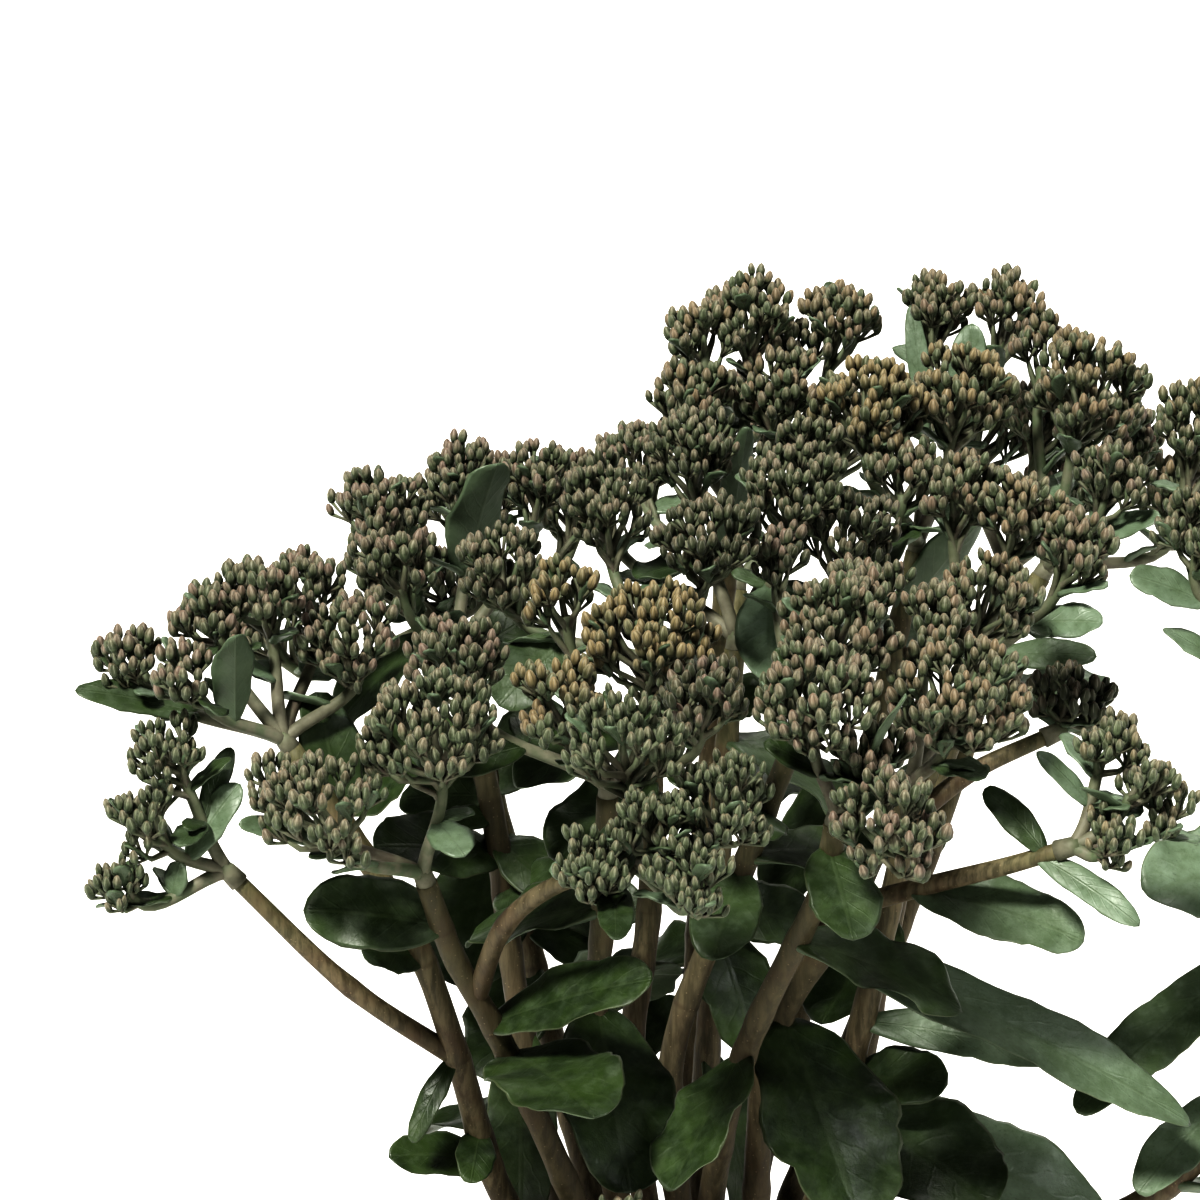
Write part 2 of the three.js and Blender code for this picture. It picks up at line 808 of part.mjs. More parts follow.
// A cyme on its branch: a dome of close-set buds, each one raised as a point from a net of hollows
function cymeSolid(cyme, branch, draw) {
  const { centre, facing, u, v, radius } = cyme;
  const count = budsAcross(radius);
  const cell = (2 * radius) / count;
  const points = [];
  const triangles = [];

  const place = (x, y, lift) => {
    const { reach, angle } = toDisc((2 * x) / count - 1, (2 * y) / count - 1);
    const polar = DOME_SPAN * reach;
    const out = (radius + 0.5 * lift) * Math.sin(polar);
    const rise = DOME_DEPTH * radius * Math.cos(polar) + lift * (0.6 + 0.4 * Math.cos(polar));
    const point = centre.clone().addScaledVector(facing, rise);
    point.addScaledVector(u, out * Math.cos(angle)).addScaledVector(v, out * Math.sin(angle));
    return { index: points.push(point) - 1, angle };
  };

  const rim = [];
  for (let y = 0; y <= count; y++) {
    for (let x = 0; x <= count; x++) {
      const hollow = place(x, y, -BUD_HOLLOW * cell);
      if (x === 0 || y === 0 || x === count || y === count) rim.push(hollow);
    }
  }
  for (let y = 0; y < count; y++) {
    for (let x = 0; x < count; x++) {
      const lift = BUD_LIFT[0] + (BUD_LIFT[1] - BUD_LIFT[0]) * draw();
      const bud = place(x + 0.5, y + 0.5, lift * cell).index;
      const a = y * (count + 1) + x;
      const b = a + count + 1;
      triangles.push(bud, a, a + 1, bud, a + 1, b + 1, bud, b + 1, b, bud, b, a);
    }
  }

  const end = addTube(points, triangles, branch, BRANCH_WIDTH, 0.8 * BRANCH_WIDTH, BRANCH_SIDES);
  const neck = end.map((index) => {
    const out = points[index].clone().sub(cyme.hub);
    return { index, angle: Math.atan2(out.dot(v), out.dot(u)) };
  });
  for (const ring of [rim, neck]) ring.sort((a, b) => turnOf(a) - turnOf(b));
  stitch(rim, neck, triangles);
  return solidFrom(points, triangles);
}

// The pot, turned as one profile, with drain holes through its floor
function potSolid() {
  const shoulder = POT_HEIGHT - RIM_HEIGHT;
  const profile = [
    [0, 0],
    [FOOT_RADIUS, 0],
    [RIM_RADIUS - RIM_TAPER - RIM_PROUD, shoulder],
    [RIM_RADIUS - RIM_TAPER, shoulder],
    [RIM_RADIUS, POT_HEIGHT],
    [MOUTH_RADIUS, POT_HEIGHT],
    [FLOOR_RADIUS, FLOOR],
    [0, FLOOR],
  ];
  const turned = new THREE.LatheGeometry(profile.map(([r, z]) => new THREE.Vector2(r, z)), POT_SIDES);
  let pot = solidOf(turned.rotateX(Math.PI / 2));
  for (let k = 0; k < DRAIN.count; k++) {
    const angle = (2 * Math.PI * (k + 0.5)) / DRAIN.count;
    const hole = new THREE.CylinderGeometry(DRAIN.radius, DRAIN.radius, 3 * FLOOR, DRAIN.sides);
    hole.rotateX(Math.PI / 2).translate(DRAIN.ring * Math.cos(angle), DRAIN.ring * Math.sin(angle), 0);
    pot = pot.subtract(solidOf(hole));
  }
  return pot;
}

// The radius just inside the pot's flat-sided wall at a height
function soilRadius(z) {
  const wall = FLOOR_RADIUS + ((MOUTH_RADIUS - FLOOR_RADIUS) * (z - FLOOR)) / (POT_HEIGHT - FLOOR);
  return wall * Math.cos(Math.PI / POT_SIDES) - 2 * GAP;
}

// The soil: a lumpy mound that fills the pot, with a plain hole for each stem
function soilSolid() {
  const draw = drawFrom(7);
  const top = soilRadius(SOIL_LEVEL);
  const layers = [
    { radius: soilRadius(FLOOR), z: FLOOR + GAP, lump: 0 },
    { radius: top, z: SOIL_LEVEL, lump: 0 },
    ...SOIL_RINGS.map((share) => ({
      radius: top * share,
      z: SOIL_LEVEL + SOIL_MOUND * (1 - share),
      lump: SOIL_LUMP,
    })),
  ];
  const points = [new THREE.Vector3(0, 0, FLOOR + GAP), new THREE.Vector3(0, 0, SOIL_LEVEL + SOIL_MOUND)];
  const triangles = [];
  let below = null;
  for (const { radius, z, lump } of layers) {
    const ring = [];
    for (let k = 0; k < SOIL_SIDES; k++) {
      const angle = (2 * Math.PI * k) / SOIL_SIDES;
      const corner = new THREE.Vector3(radius * Math.cos(angle), radius * Math.sin(angle), z);
      corner.z += lump * (2 * draw() - 1);
      ring.push(points.push(corner) - 1);
    }
    for (let k = 0; k < SOIL_SIDES; k++) {
      const next = (k + 1) % SOIL_SIDES;
      if (below) {
        triangles.push(below[k], below[next], ring[next], below[k], ring[next], ring[k]);
      } else {
        triangles.push(0, ring[next], ring[k]);
      }
    }
    below = ring;
  }
  for (let k = 0; k < SOIL_SIDES; k++) {
    triangles.push(below[k], below[(k + 1) % SOIL_SIDES], 1);
  }
  let soil = solidFrom(points, triangles);
  const depth = 40;
  const room = FOOT_WIDTH + STEM_ROOM;
  for (const { foot: [x, y] } of Object.values(STEMS)) {
    const hole = new THREE.CylinderGeometry(room, room, depth, HOLE_SIDES);
    hole.rotateX(Math.PI / 2).rotateZ(Math.PI / 6).translate(x, y, STEM_FOOT - GAP + depth / 2);
    soil = soil.subtract(solidOf(hole));
  }
  return soil;
}

function leafyStem(name) {
  const tubes = shoots[name].map(({ spine, start, end }) => tube(spine, start, end, STEM_SIDES));
  return joined([...tubes, ...leaves[name].map(bladeOf)]);
}

function flowerHead(name) {
  const head = heads[name];
  const draw = drawFrom(1000 + Number(name));
  const stubEnd = head.fork.clone().addScaledVector(head.top, 5);
  const stub = tube([head.fork, stubEnd], BRANCH_WIDTH + 0.4, BRANCH_WIDTH, STUB_SIDES);
  const cymes = head.cymes.map((cyme, i) => cymeSolid(cyme, head.branches[i], draw));
  return joined([stub, ...cymes, ...bracts[name].map(bladeOf)]);
}

const pottedPlant = new THREE.Group();
pottedPlant.add(meshOf(potSolid(), "pot", clay));
pottedPlant.add(meshOf(soilSolid(), "soil", earth));
for (const name of stemNames) {
  pottedPlant.add(meshOf(leafyStem(name), `leafy_stem_${name}`, leafGreen));
}
for (const name of headNames) {
  pottedPlant.add(meshOf(flowerHead(name), `flower_head_${name}`, budBrown));
}

export default pottedPlant;
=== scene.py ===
from math import acos, asin, atan2, ceil, cos, pi, sin, sqrt, tan

import bpy
import numpy as np
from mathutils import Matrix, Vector, noise


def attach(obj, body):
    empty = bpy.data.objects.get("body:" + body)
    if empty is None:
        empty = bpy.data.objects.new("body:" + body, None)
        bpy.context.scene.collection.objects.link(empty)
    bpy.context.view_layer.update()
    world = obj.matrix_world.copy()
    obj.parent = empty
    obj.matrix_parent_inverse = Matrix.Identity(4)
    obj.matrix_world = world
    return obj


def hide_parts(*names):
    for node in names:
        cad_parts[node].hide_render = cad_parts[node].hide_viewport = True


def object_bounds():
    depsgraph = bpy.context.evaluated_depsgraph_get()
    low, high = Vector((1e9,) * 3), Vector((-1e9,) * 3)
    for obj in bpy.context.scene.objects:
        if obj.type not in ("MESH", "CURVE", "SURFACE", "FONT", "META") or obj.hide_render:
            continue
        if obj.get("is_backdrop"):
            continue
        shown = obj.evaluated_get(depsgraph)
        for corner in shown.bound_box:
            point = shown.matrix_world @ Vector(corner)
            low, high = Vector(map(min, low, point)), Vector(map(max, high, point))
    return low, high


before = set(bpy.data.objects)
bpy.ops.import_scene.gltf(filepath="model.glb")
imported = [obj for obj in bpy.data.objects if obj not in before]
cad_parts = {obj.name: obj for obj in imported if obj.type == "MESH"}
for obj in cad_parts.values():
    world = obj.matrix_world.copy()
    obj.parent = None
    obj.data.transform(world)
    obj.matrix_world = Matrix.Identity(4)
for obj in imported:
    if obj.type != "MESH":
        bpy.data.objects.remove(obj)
CAD_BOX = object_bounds()

# The plant's sizes are in millimetres, in the frame of the solids.
MM = 0.001
DEG = pi / 180

# Pot
POT_HEIGHT = 145
RIM_RADIUS = 88
RIM_HEIGHT = 30
RIM_PROUD = 6
RIM_TAPER = 2
FOOT_RADIUS = 60
FLOOR = 8
MOUTH_RADIUS = 80
FLOOR_RADIUS = 53
POT_SIDES = 144
CAP_RADIUS = 6
CORNER_ROUND = 3
EDGE_ROUND = 2.5
CREASE_ROUND = 1.2
DRAIN = {"count": 3, "radius": 5, "ring": 30}

# Soil
SOIL_LEVEL = 132
SOIL_MOUND = 3
SOIL_LUMP = 1.2

# Stems
STEM_STEP = 32
FINE_STEP = 4
STEM_FOOT = 112
STEM_COLLAR = 139
FOOT_STEP = 5
FOOT_WIDTH = 4.5
FORK_WIDTH = 3.1
SIDE_WIDTH = 3
SIDE_FORK_WIDTH = 2.3

# Flower heads
BRANCH_STEPS = 2
FINE_BRANCH_STEPS = 10
BRANCH_WIDTH = 2.1
BRANCH_ROOT = 2.5
LEAN = 0.55
LEAN_FOCUS = np.array([10.0, 0.0, 150.0])
HUB_DEPTH = 0.55
DOME_DEPTH = 0.7
GAP = 0.3

# Leaves
BLADE_HALF = 0.8
ROOT_SWELL = 0.035
LEAF_CUP = 0.16
LEAF_WAVE = 0.05
LEAF_WAVES = 2.2
LEAF_DROOP = 14
SMALL_LEAF = 40
BRACT = 20
UP = np.array([0.0, 0.0, 1.0])

# Each stem: its foot in the soil, the points it passes on the way to the fork below its flower head,
# its side shoots, which start from a height on it, and how many more leaves grow by rule.
# A leaf is (height of its foot on the shoot, tip x, tip y, tip z, width, roll).
STEMS = {
    "01": {
        "foot": (-24, -6),
        "path": [(-36, -16, 165), (-52, -28, 200), (-62, -42, 243), (-76, -48, 285), (-106, -48, 333)],
        "leaves": [
            (272, -87, -60, 279, 14, 50), (312, -100, -34, 345, 19, 0), (242, -74, -52, 220, 8, 20),
            (216, -58, -52, 208, 12, 20), (206, -81, -45, 213, 15, 40),
        ],
        "side": [{"from": 241, "path": [(-91, -52, 266), (-121, -60, 300)]}],
        "more": 0,
    },
    "02": {
        "foot": (-10, -24),
        "path": [(-18, -36, 165), (-30, -50, 204), (-49, -72, 258), (-61, -80, 284), (-68, -88, 308)],
        "leaves": [(294, -101, -84, 299, 22, 55), (262, -8, -94, 283, 22, -36)],
        "side": [
            {"from": 271, "path": [(-48, -90, 296), (-34, -102, 312), (-16, -116, 322)]},
            {"from": 158, "path": [(-16, -58, 176), (-17, -86, 202)]},
        ],
        "more": 2,
    },
    "03": {
        "foot": (-2, -12),
        "path": [(-14, -30, 180), (-23, -45, 242), (-21, -52, 290), (-20, -56, 322)],
        "leaves": [(258, -14, -86, 219, 35, 12)],
        "more": 3,
    },
    "04": {
        "foot": (2, 2),
        "path": [(-8, -12, 180), (-13, -25, 237), (-8, -20, 280), (-8, -16, 345)],
        "leaves": [(334, -45, -36, 318, 26, 10)],
        "more": 3,
    },
    "05": {
        "foot": (9, -14),
        "path": [(2, -26, 180), (-2, -38, 240), (18, -50, 302), (30, -60, 338)],
        "leaves": [(316, 19, -84, 320, 17, 30), (298, 8, -82, 284, 20, 10)],
        "more": 2,
    },
    "06": {
        "foot": (15, -26),
        "path": [(8, -40, 165), (9, -55, 206), (17, -75, 255), (36, -98, 309), (39, -105, 330)],
        "leaves": [(254, -3, -104, 227, 29, -20), (322, 43, -126, 305, 21, 4)],
        "more": 2,
    },
    "07": {
        "foot": (23, -12),
        "path": [(22, -28, 180), (25, -45, 245), (42, -60, 285), (60, -66, 326)],
        "leaves": [(254, 48, -84, 210, 46, 6), (278, 140, -64, 230, 23, -30)],
        "side": [
            {
                "from": 292,
                "path": [(66, -75, 303), (87, -85, 312), (100, -90, 318)],
                "leaves": [
                    (301, 107, -84, 290, 21, -36), (315, 119, -106, 302, 9, -38), (316, 80, -78, 331, 9, 40),
                ],
            },
        ],
        "more": 1,
    },
    "08": {
        "foot": (-20, 12),
        "path": [(-34, 12, 180), (-46, 10, 240), (-52, 12, 291), (-62, 18, 338)],
        "leaves": [
            (272, -30, -14, 280, 26, -30), (282, -86, -8, 292, 24, 36), (286, -22, 4, 262, 28, -20),
            (300, -80, 26, 295, 16, 50), (294, -66, 2, 296, 9, 45), (231, -45, -2, 173, 22, 0),
        ],
        "more": 0,
    },
    "09": {
        "foot": (6, 14),
        "path": [(8, 8, 200), (12, 2, 290), (16, 6, 346)],
        "leaves": [(264, 22, -14, 232, 24, -10), (270, 39, 2, 265, 20, -50), (225, 22, -6, 173, 20, 0)],
        "more": 3,
    },
    "10": {
        "foot": (26, 6),
        "path": [(40, -2, 180), (56, -12, 257), (66, -15, 306), (80, -20, 345)],
        "leaves": [(240, 109, -22, 233, 14, -50), (214, 88, -46, 198, 38, -24), (222, 76, -28, 228, 20, -45)],
        "side": [{"from": 303, "path": [(82, -11, 315), (94, -8, 320), (104, -6, 324)]}],
        "more": 0,
    },
    "11": {
        "foot": (0, 25),
        "path": [(4, 34, 200), (10, 44, 300), (16, 52, 372)],
        "leaves": [(352, 20, 34, 404, 10, 0), (320, 27, 40, 321, 16, -45), (225, -15, 42, 215, 20, 45)],
        "more": 4,
    },
    "12": {
        "foot": (14, 24),
        "path": [(30, 34, 200), (56, 46, 300), (70, 54, 362)],
        "leaves": [(300, 28, 22, 262, 30, 0), (342, 88, 50, 372, 16, 60)],
        "more": 4,
    },
    "13": {
        "foot": (35, 20),
        "path": [(50, 24, 190), (62, 34, 251), (72, 40, 286), (87, 44, 323), (106, 48, 356)],
        "leaves": [(255, 42, 10, 232, 30, 0), (332, 121, 30, 337, 10, -55), (200, 129, 16, 164, 34, -30)],
        "more": 0,
    },
    "14": {
        "foot": (35, -4),
        "path": [(62, -8, 160), (112, -20, 178), (152, -30, 215), (166, -22, 285), (158, 0, 345)],
        "leaves": [
            (292, 129, -40, 288, 30, 34), (267, 109, -60, 232, 19, 30), (226, 128, -50, 204, 17, 20),
            (338, 136, 2, 353, 10, 20),
        ],
        "more": 2,
    },
    "15": {
        "foot": (-14, 27),
        "path": [(-30, 40, 190), (-52, 56, 280), (-66, 62, 335)],
        "leaves": [
            (275, -62, 24, 238, 36, 0), (236, -55, 32, 206, 30, 0), (288, -33, 58, 314, 22, -50),
            (325, -41, 62, 341, 16, -50), (262, -9, 44, 254, 19, -45), (250, -20, 46, 237, 15, -45),
        ],
        "more": 2,
    },
    "16": {"foot": (24, 27), "path": [(46, 52, 190), (84, 84, 280), (100, 100, 340)], "more": 3},
    "17": {"foot": (5, 40), "path": [(8, 62, 190), (15, 94, 280), (20, 112, 335)], "more": 4},
}

# Each flower head: the stem that bears it, or its side shoot 1 or 2, its cymes (x, y, z, radius),
# and the larger leaves among them (cyme whose branch bears it, tip x, tip y, tip z, width, roll).
HEADS = {
    "01": {
        "stem": "01",
        "cymes": [
            (-149, -45, 361, 9), (-128, -48, 372, 10), (-115, -42, 377, 12), (-90, -38, 364, 14),
            (-103, -20, 374, 11), (-133, -62, 361, 8),
        ],
        "leaves": [(0, -164, -50, 350, 10, 45), (5, -119, -66, 370, 13, -20)],
    },
    "02": {
        "stem": "01",
        "side": 1,
        "cymes": [(-138, -62, 339, 10), (-144, -66, 321, 11), (-151, -70, 304, 8)],
        "leaves": [(1, -119, -58, 326, 11, -40), (2, -135, -64, 306, 8, -40), (0, -122, -50, 334, 7, -40)],
    },
    "03": {
        "stem": "02",
        "cymes": [(-66, -100, 355, 18), (-92, -110, 337, 17), (-105, -100, 342, 9)],
        "leaves": [(2, -116, -106, 330, 8, 45)],
    },
    "04": {
        "stem": "02",
        "side": 1,
        "cymes": [
            (-16, -134, 362, 15), (9, -133, 347, 14), (-24, -144, 334, 10), (0, -148, 331, 11),
            (-9, -140, 343, 10),
        ],
        "leaves": [(2, -18, -163, 318, 10, 0), (2, -35, -138, 328, 9, 40)],
    },
    "05": {
        "stem": "03",
        "cymes": [
            (-9, -62, 370, 18), (-32, -50, 378, 10), (-33, -78, 358, 12), (-61, -62, 364, 14),
            (5, -84, 359, 12),
        ],
        "leaves": [(3, -63, -74, 334, 10, 45)],
    },
    "06": {
        "stem": "04",
        "cymes": [(-21, 5, 390, 13), (7, -33, 390, 14), (-50, -6, 375, 13)],
        "leaves": [(2, -50, -24, 338, 20, 40)],
    },
    "07": {"stem": "05", "cymes": [(41, -85, 380, 16), (27, -20, 382, 8), (51, -46, 378, 11)]},
    "08": {
        "stem": "06",
        "cymes": [(33, -122, 371, 16), (51, -134, 341, 15), (47, -118, 354, 10)],
        "leaves": [(0, 20, -112, 354, 9, 35), (2, 55, -134, 373, 8, -35)],
    },
    "09": {"stem": "07", "cymes": [(72, -90, 363, 19), (82, -47, 377, 14), (66, -71, 379, 9)]},
    "10": {
        "stem": "07",
        "side": 1,
        "cymes": [(112, -86, 348, 9), (119, -94, 340, 9), (111, -98, 326, 9), (126, -92, 331, 7)],
        "leaves": [(0, 93, -84, 343, 6, 50)],
    },
    "11": {
        "stem": "08",
        "cymes": [(-84, 17, 385, 15), (-62, 32, 395, 9), (-79, -13, 377, 12), (-41, 40, 390, 10)],
        "leaves": [(1, -51, 14, 398, 20, 0), (2, -98, -16, 326, 26, 0)],
    },
    "12": {
        "stem": "09",
        "cymes": [(32, 0, 395, 16), (4, 18, 403, 13), (-22, 38, 388, 9), (36, 20, 404, 9), (47, 4, 383, 14)],
        "leaves": [(1, -12, 0, 368, 18, 0), (0, 25, -24, 345, 20, 0)],
    },
    "13": {
        "stem": "10",
        "cymes": [(77, -16, 401, 11), (93, -22, 396, 12), (108, -28, 387, 10)],
        "leaves": [(2, 115, -36, 365, 12, -45)],
    },
    "14": {"stem": "10", "side": 1, "cymes": [(110, -5, 336, 12)]},
    "15": {
        "stem": "11",
        "cymes": [
            (22, 62, 434, 12), (8, 56, 429, 10), (47, 72, 430, 12), (4, 46, 411, 12), (29, 53, 413, 12),
            (35, 66, 421, 9),
        ],
    },
    "16": {
        "stem": "12",
        "cymes": [
            (55, 40, 410, 16), (82, 46, 414, 15), (77, 84, 432, 10), (98, 88, 429, 12), (65, 26, 394, 11),
        ],
        "leaves": [(2, 69, 80, 430, 7, 30), (3, 87, 78, 425, 13, 0), (4, 50, 14, 362, 28, -20)],
    },
    "17": {
        "stem": "13",
        "cymes": [(119, 56, 413, 17), (108, 66, 422, 10), (123, 25, 393, 11), (151, 64, 378, 15)],
        "leaves": [(2, 137, 20, 381, 9, -50)],
    },
    "18": {
        "stem": "14",
        "cymes": [(149, 32, 408, 14), (148, 2, 384, 14), (174, 22, 395, 15)],
        "leaves": [(1, 126, 0, 369, 12, 45)],
    },
    "19": {
        "stem": "15",
        "cymes": [
            (-60, 70, 378, 16), (-84, 55, 365, 12), (-30, 95, 372, 15), (-118, 28, 350, 13),
            (-69, 60, 353, 11),
        ],
    },
    "20": {
        "stem": "16",
        "cymes": [(95, 130, 386, 17), (130, 100, 388, 16), (122, 142, 364, 12), (113, 112, 392, 12)],
    },
    "21": {"stem": "17", "cymes": [(15, 122, 390, 17), (54, 134, 386, 15), (-10, 150, 370, 13)]},
    "22": {"stem": "02", "side": 2, "cymes": [(-17, -95, 217, 9)]},
}

# Painted light and shade on the buds of each cyme of a head: from 1 down to 0, how much warm painted light,
# and down to -1, how dark a painted shade; the others are even
PAINTED_LIGHT = {
    "03": (0.1, 0, 0.1),
    "05": (0.9, 0.8, 0.7, -0.1, -0.4),
    "06": (-0.2, -0.4, -0.3),
    "07": (0.2, -0.3, 0.1),
    "08": (0.15, 0, 0.1),
    "09": (0.3, 0.3, 0.2),
    "10": (0.2, 0.2, 0.3, 0.2),
    "12": (-0.1, -0.15, -0.2, 0.1, -0.5),
    "13": (0.3, 0.4, 0.2),
    "14": (-0.9,),
    "15": (0.3, 0.35, 0.35, 0.3, 0.3, 0.2),
    "16": (0.75, 0.6, 0.3, 0.3, 0.2),
    "17": (0.45, 0.3, 0.1, 0.35),
    "18": (0.35, 0.2, 0.3),
}

# Heads whose buds are younger, so that they are greener and smaller, with how much so
YOUNG = {"02": 0.6, "03": 0.3, "04": 0.8, "06": 0.3, "10": 0.4, "12": 0.3, "18": 0.3, "22": 0.5}


def unit(v):
    return v / np.linalg.norm(v, axis=-1, keepdims=True)


def lerp(a, b, share):
    return a + (b - a) * share


def draw_from(seed):
    """A repeatable draw of numbers from 0 to 1."""
    state = seed

    def draw():
        nonlocal state
        state = (state * 1664525 + 1013904223) & 0xFFFFFFFF
        return state / 4294967296

    return draw


# The shoots, each with the row of points it runs through


def smooth_curve(places, t):
    """Points at t from 0 to 1 on the Catmull-Rom curve through the places."""
    spans = len(places) - 1
    i = np.minimum((t * spans).astype(int), spans - 1)
    w = (t * spans - i)[:, None]
    before = np.vstack([2 * places[0] - places[1], places])
    after = np.vstack([places, 2 * places[-1] - places[-2]])
    a, b = places[i], places[i + 1]
    leave, arrive = 0.5 * (b - before[i]), 0.5 * (after[i + 2] - a)
    return a + leave * w + (3 * (b - a) - 2 * leave - arrive) * w**2 + (2 * (a - b) + leave + arrive) * w**3


def spaced(places, step):
    """Points spaced evenly along that curve, about a step apart."""
    places = np.array(places, float)
    t = np.linspace(0, 1, 201)
    fine = smooth_curve(places, t)
    run = np.concatenate([[0], np.cumsum(np.linalg.norm(np.diff(fine, axis=0), axis=1))])
    count = max(3, round(run[-1] / step))
    return smooth_curve(places, np.interp(np.linspace(0, run[-1], count + 1), run, t))


def at_height(spine, height):
    """Where a rising row of points reaches a height."""
    i = next(k for k in range(1, len(spine)) if spine[k][2] > height)
    low, high = spine[i - 1], spine[i]
    return lerp(low, high, (height - low[2]) / (high[2] - low[2]))


def shoot_of(given, foot, places, widths):
    """A shoot's coarse row of points, which the solids share, and the fine one that is drawn."""
    return {
        "spine": np.vstack([foot[:1], spaced(places, STEM_STEP)]),
        "course": np.vstack([foot, spaced(places, FINE_STEP)]),
        "widths": widths,
        "leaves": given.get("leaves", []),
    }


def shoots_of(stem):
    x, y = stem["foot"]
    foot = np.array([(x, y, z) for z in range(STEM_FOOT, STEM_COLLAR, FOOT_STEP)], float)
    made = [shoot_of(stem, foot, [(x, y, STEM_COLLAR), *stem["path"]], (FOOT_WIDTH, FORK_WIDTH))]
    for side in stem.get("side", []):
        places = [tuple(at_height(made[0]["spine"], side["from"])), *side["path"]]
        made.append(shoot_of(side, foot[:0], places, (SIDE_WIDTH, SIDE_FORK_WIDTH)))
    return made


shoots = {name: shoots_of(stem) for name, stem in STEMS.items()}


def cyme_frame(cyme):
    """A cyme's place, the way it faces, and the hub that its flower stalks spread from."""
    centre, radius = np.array(cyme[:3], float), cyme[3]
    facing = LEAN * unit(centre - LEAN_FOCUS)
    facing[2] += 1 - LEAN
    facing = unit(facing)
    u = unit(np.cross([0.0, 1.0, 0.0], facing))
    v = np.cross(facing, u)
    hub = centre - facing * (HUB_DEPTH * radius + 2)
    return {"centre": centre, "radius": radius, "facing": facing, "u": u, "v": v, "hub": hub}


def bezier(a, b, c, d, count):
    """Points on a cubic curve; the corners may be rows of points, one for each of many curves."""
    t = np.linspace(0, 1, count + 1).reshape((-1,) + (1,) * np.ndim(a))
    return a * (1 - t) ** 3 + 3 * b * t * (1 - t) ** 2 + 3 * c * t**2 * (1 - t) + d * t**3


def branch_of(fork, top, cyme, steps):
    reach = np.linalg.norm(fork - cyme["hub"])
    bend = cyme["hub"] - 0.4 * reach * cyme["facing"]
    root = fork + BRANCH_ROOT * top
    leave = lerp(root, bend, 0.3) + 0.15 * reach * top
    return bezier(root, leave, bend, cyme["hub"], steps)


def head_of(head):
    spine = shoots[head["stem"]][head.get("side", 0)]["spine"]
    top = unit(spine[-1] - spine[-2])
    fork = spine[-1] + GAP * top
    cymes = [cyme_frame(cyme) for cyme in head["cymes"]]
    return {
        "fork": fork,
        "top": top,
        "cymes": cymes,
        "branches": [branch_of(fork, top, cyme, BRANCH_STEPS) for cyme in cymes],
        "courses": [branch_of(fork, top, cyme, FINE_BRANCH_STEPS) for cyme in cymes],
        "leaves": head.get("leaves", []),
    }


heads = {name: head_of(head) for name, head in HEADS.items()}


def leaf_frame(leaf, s):
    """The midrib at s from 0 to 1, and the directions across the blade and out of its upper face."""
    s = np.atleast_1d(np.asarray(s, float))[:, None]
    bend, start = leaf["droop"] * DEG, leaf["pitch"] * DEG
    pitch = start - bend * s
    out = leaf["length"] * (sin(start) - np.sin(pitch)) / bend
    rise = leaf["length"] * (np.cos(pitch) - cos(start)) / bend
    azimuth = leaf["azimuth"] * DEG
    ahead = np.array([cos(azimuth), sin(azimuth), 0])
    rib = leaf["base"] + ahead * out + UP * rise
    flat_up = UP * np.cos(pitch) - ahead * np.sin(pitch)
    flat_side = np.array([sin(azimuth), -cos(azimuth), 0])
    turn = leaf["roll"] * DEG
    side = flat_side * cos(turn) + flat_up * sin(turn)
    face = flat_up * cos(turn) - flat_side * sin(turn)
    return rib, side, face


def leaf_to(base, tip, width, roll):
    """The leaf whose midrib runs from its base to a tip."""
    chord = np.array(tip, float) - base
    reach = np.linalg.norm(chord)
    half = LEAF_DROOP / 2 * DEG
    return {
        "base": base,
        "azimuth": atan2(chord[1], chord[0]) / DEG,
        "pitch": asin(chord[2] / reach) / DEG + LEAF_DROOP / 2,
        "length": reach * half / sin(half),
        "width": width,
        "droop": LEAF_DROOP,
        "roll": roll,
        "phase": base[2] / 40,
    }


def half_width(leaf, s, end=1.02):
    """Half the blade's width at s: narrow at the foot, widest past the middle, blunt at the tip."""
    shape = (s + 0.03) ** 0.62 * np.maximum(0, end - s) ** 0.5
    return leaf["width"] / 2 * np.minimum(1, shape / 0.489)


# Balls (centre, radius, owner) along shoots and branches, in cymes and on leaves, which leaves keep clear of
BALL_STEP = 6
LEAF_REACH = (0.35, 0.55, 0.75, 0.92, 1)
LEAF_BALL = 5
SMALL_BALL = 3
SHOOT_ROOM = 2.5
CYME_ROOM = 3
POT_ROOM = 6
balls = []


def add_spine_balls(spine, radius, owner):
    for low, high in zip(spine[:-1], spine[1:]):
        count = ceil(np.linalg.norm(high - low) / BALL_STEP)
        balls.extend((lerp(low, high, k / count), radius + SHOOT_ROOM, owner) for k in range(count + 1))


def ball_of(leaf):
    return SMALL_BALL if leaf["length"] < SMALL_LEAF else LEAF_BALL


def leaf_samples(leaf):
    rib, side, _ = leaf_frame(leaf, LEAF_REACH)
    half = half_width(leaf, np.array(LEAF_REACH))[:, None]
    return np.concatenate([rib + side * share * half for share in (-0.75, 0, 0.75)])


def is_clear(leaf, owner):
    points = leaf_samples(leaf)
    over_rim = np.hypot(points[:, 0], points[:, 1]) < RIM_RADIUS + POT_ROOM
    if np.any(points[:, 2] <= np.where(over_rim, POT_HEIGHT, 0) + POT_ROOM):
        return False
    centres, radii = zip(*[ball[:2] for ball in balls if ball[2] != owner])
    apart = np.linalg.norm(points[:, None] - np.array(centres), axis=2)
    return bool(np.all(apart > np.array(radii) + ball_of(leaf)))


def add_leaf_balls(leaf):
    balls.extend((centre, ball_of(leaf), "leaf") for centre in leaf_samples(leaf))


SWINGS = (0, 25, -25, 50, -50, 80, -80, 115, -115, 150, -150)


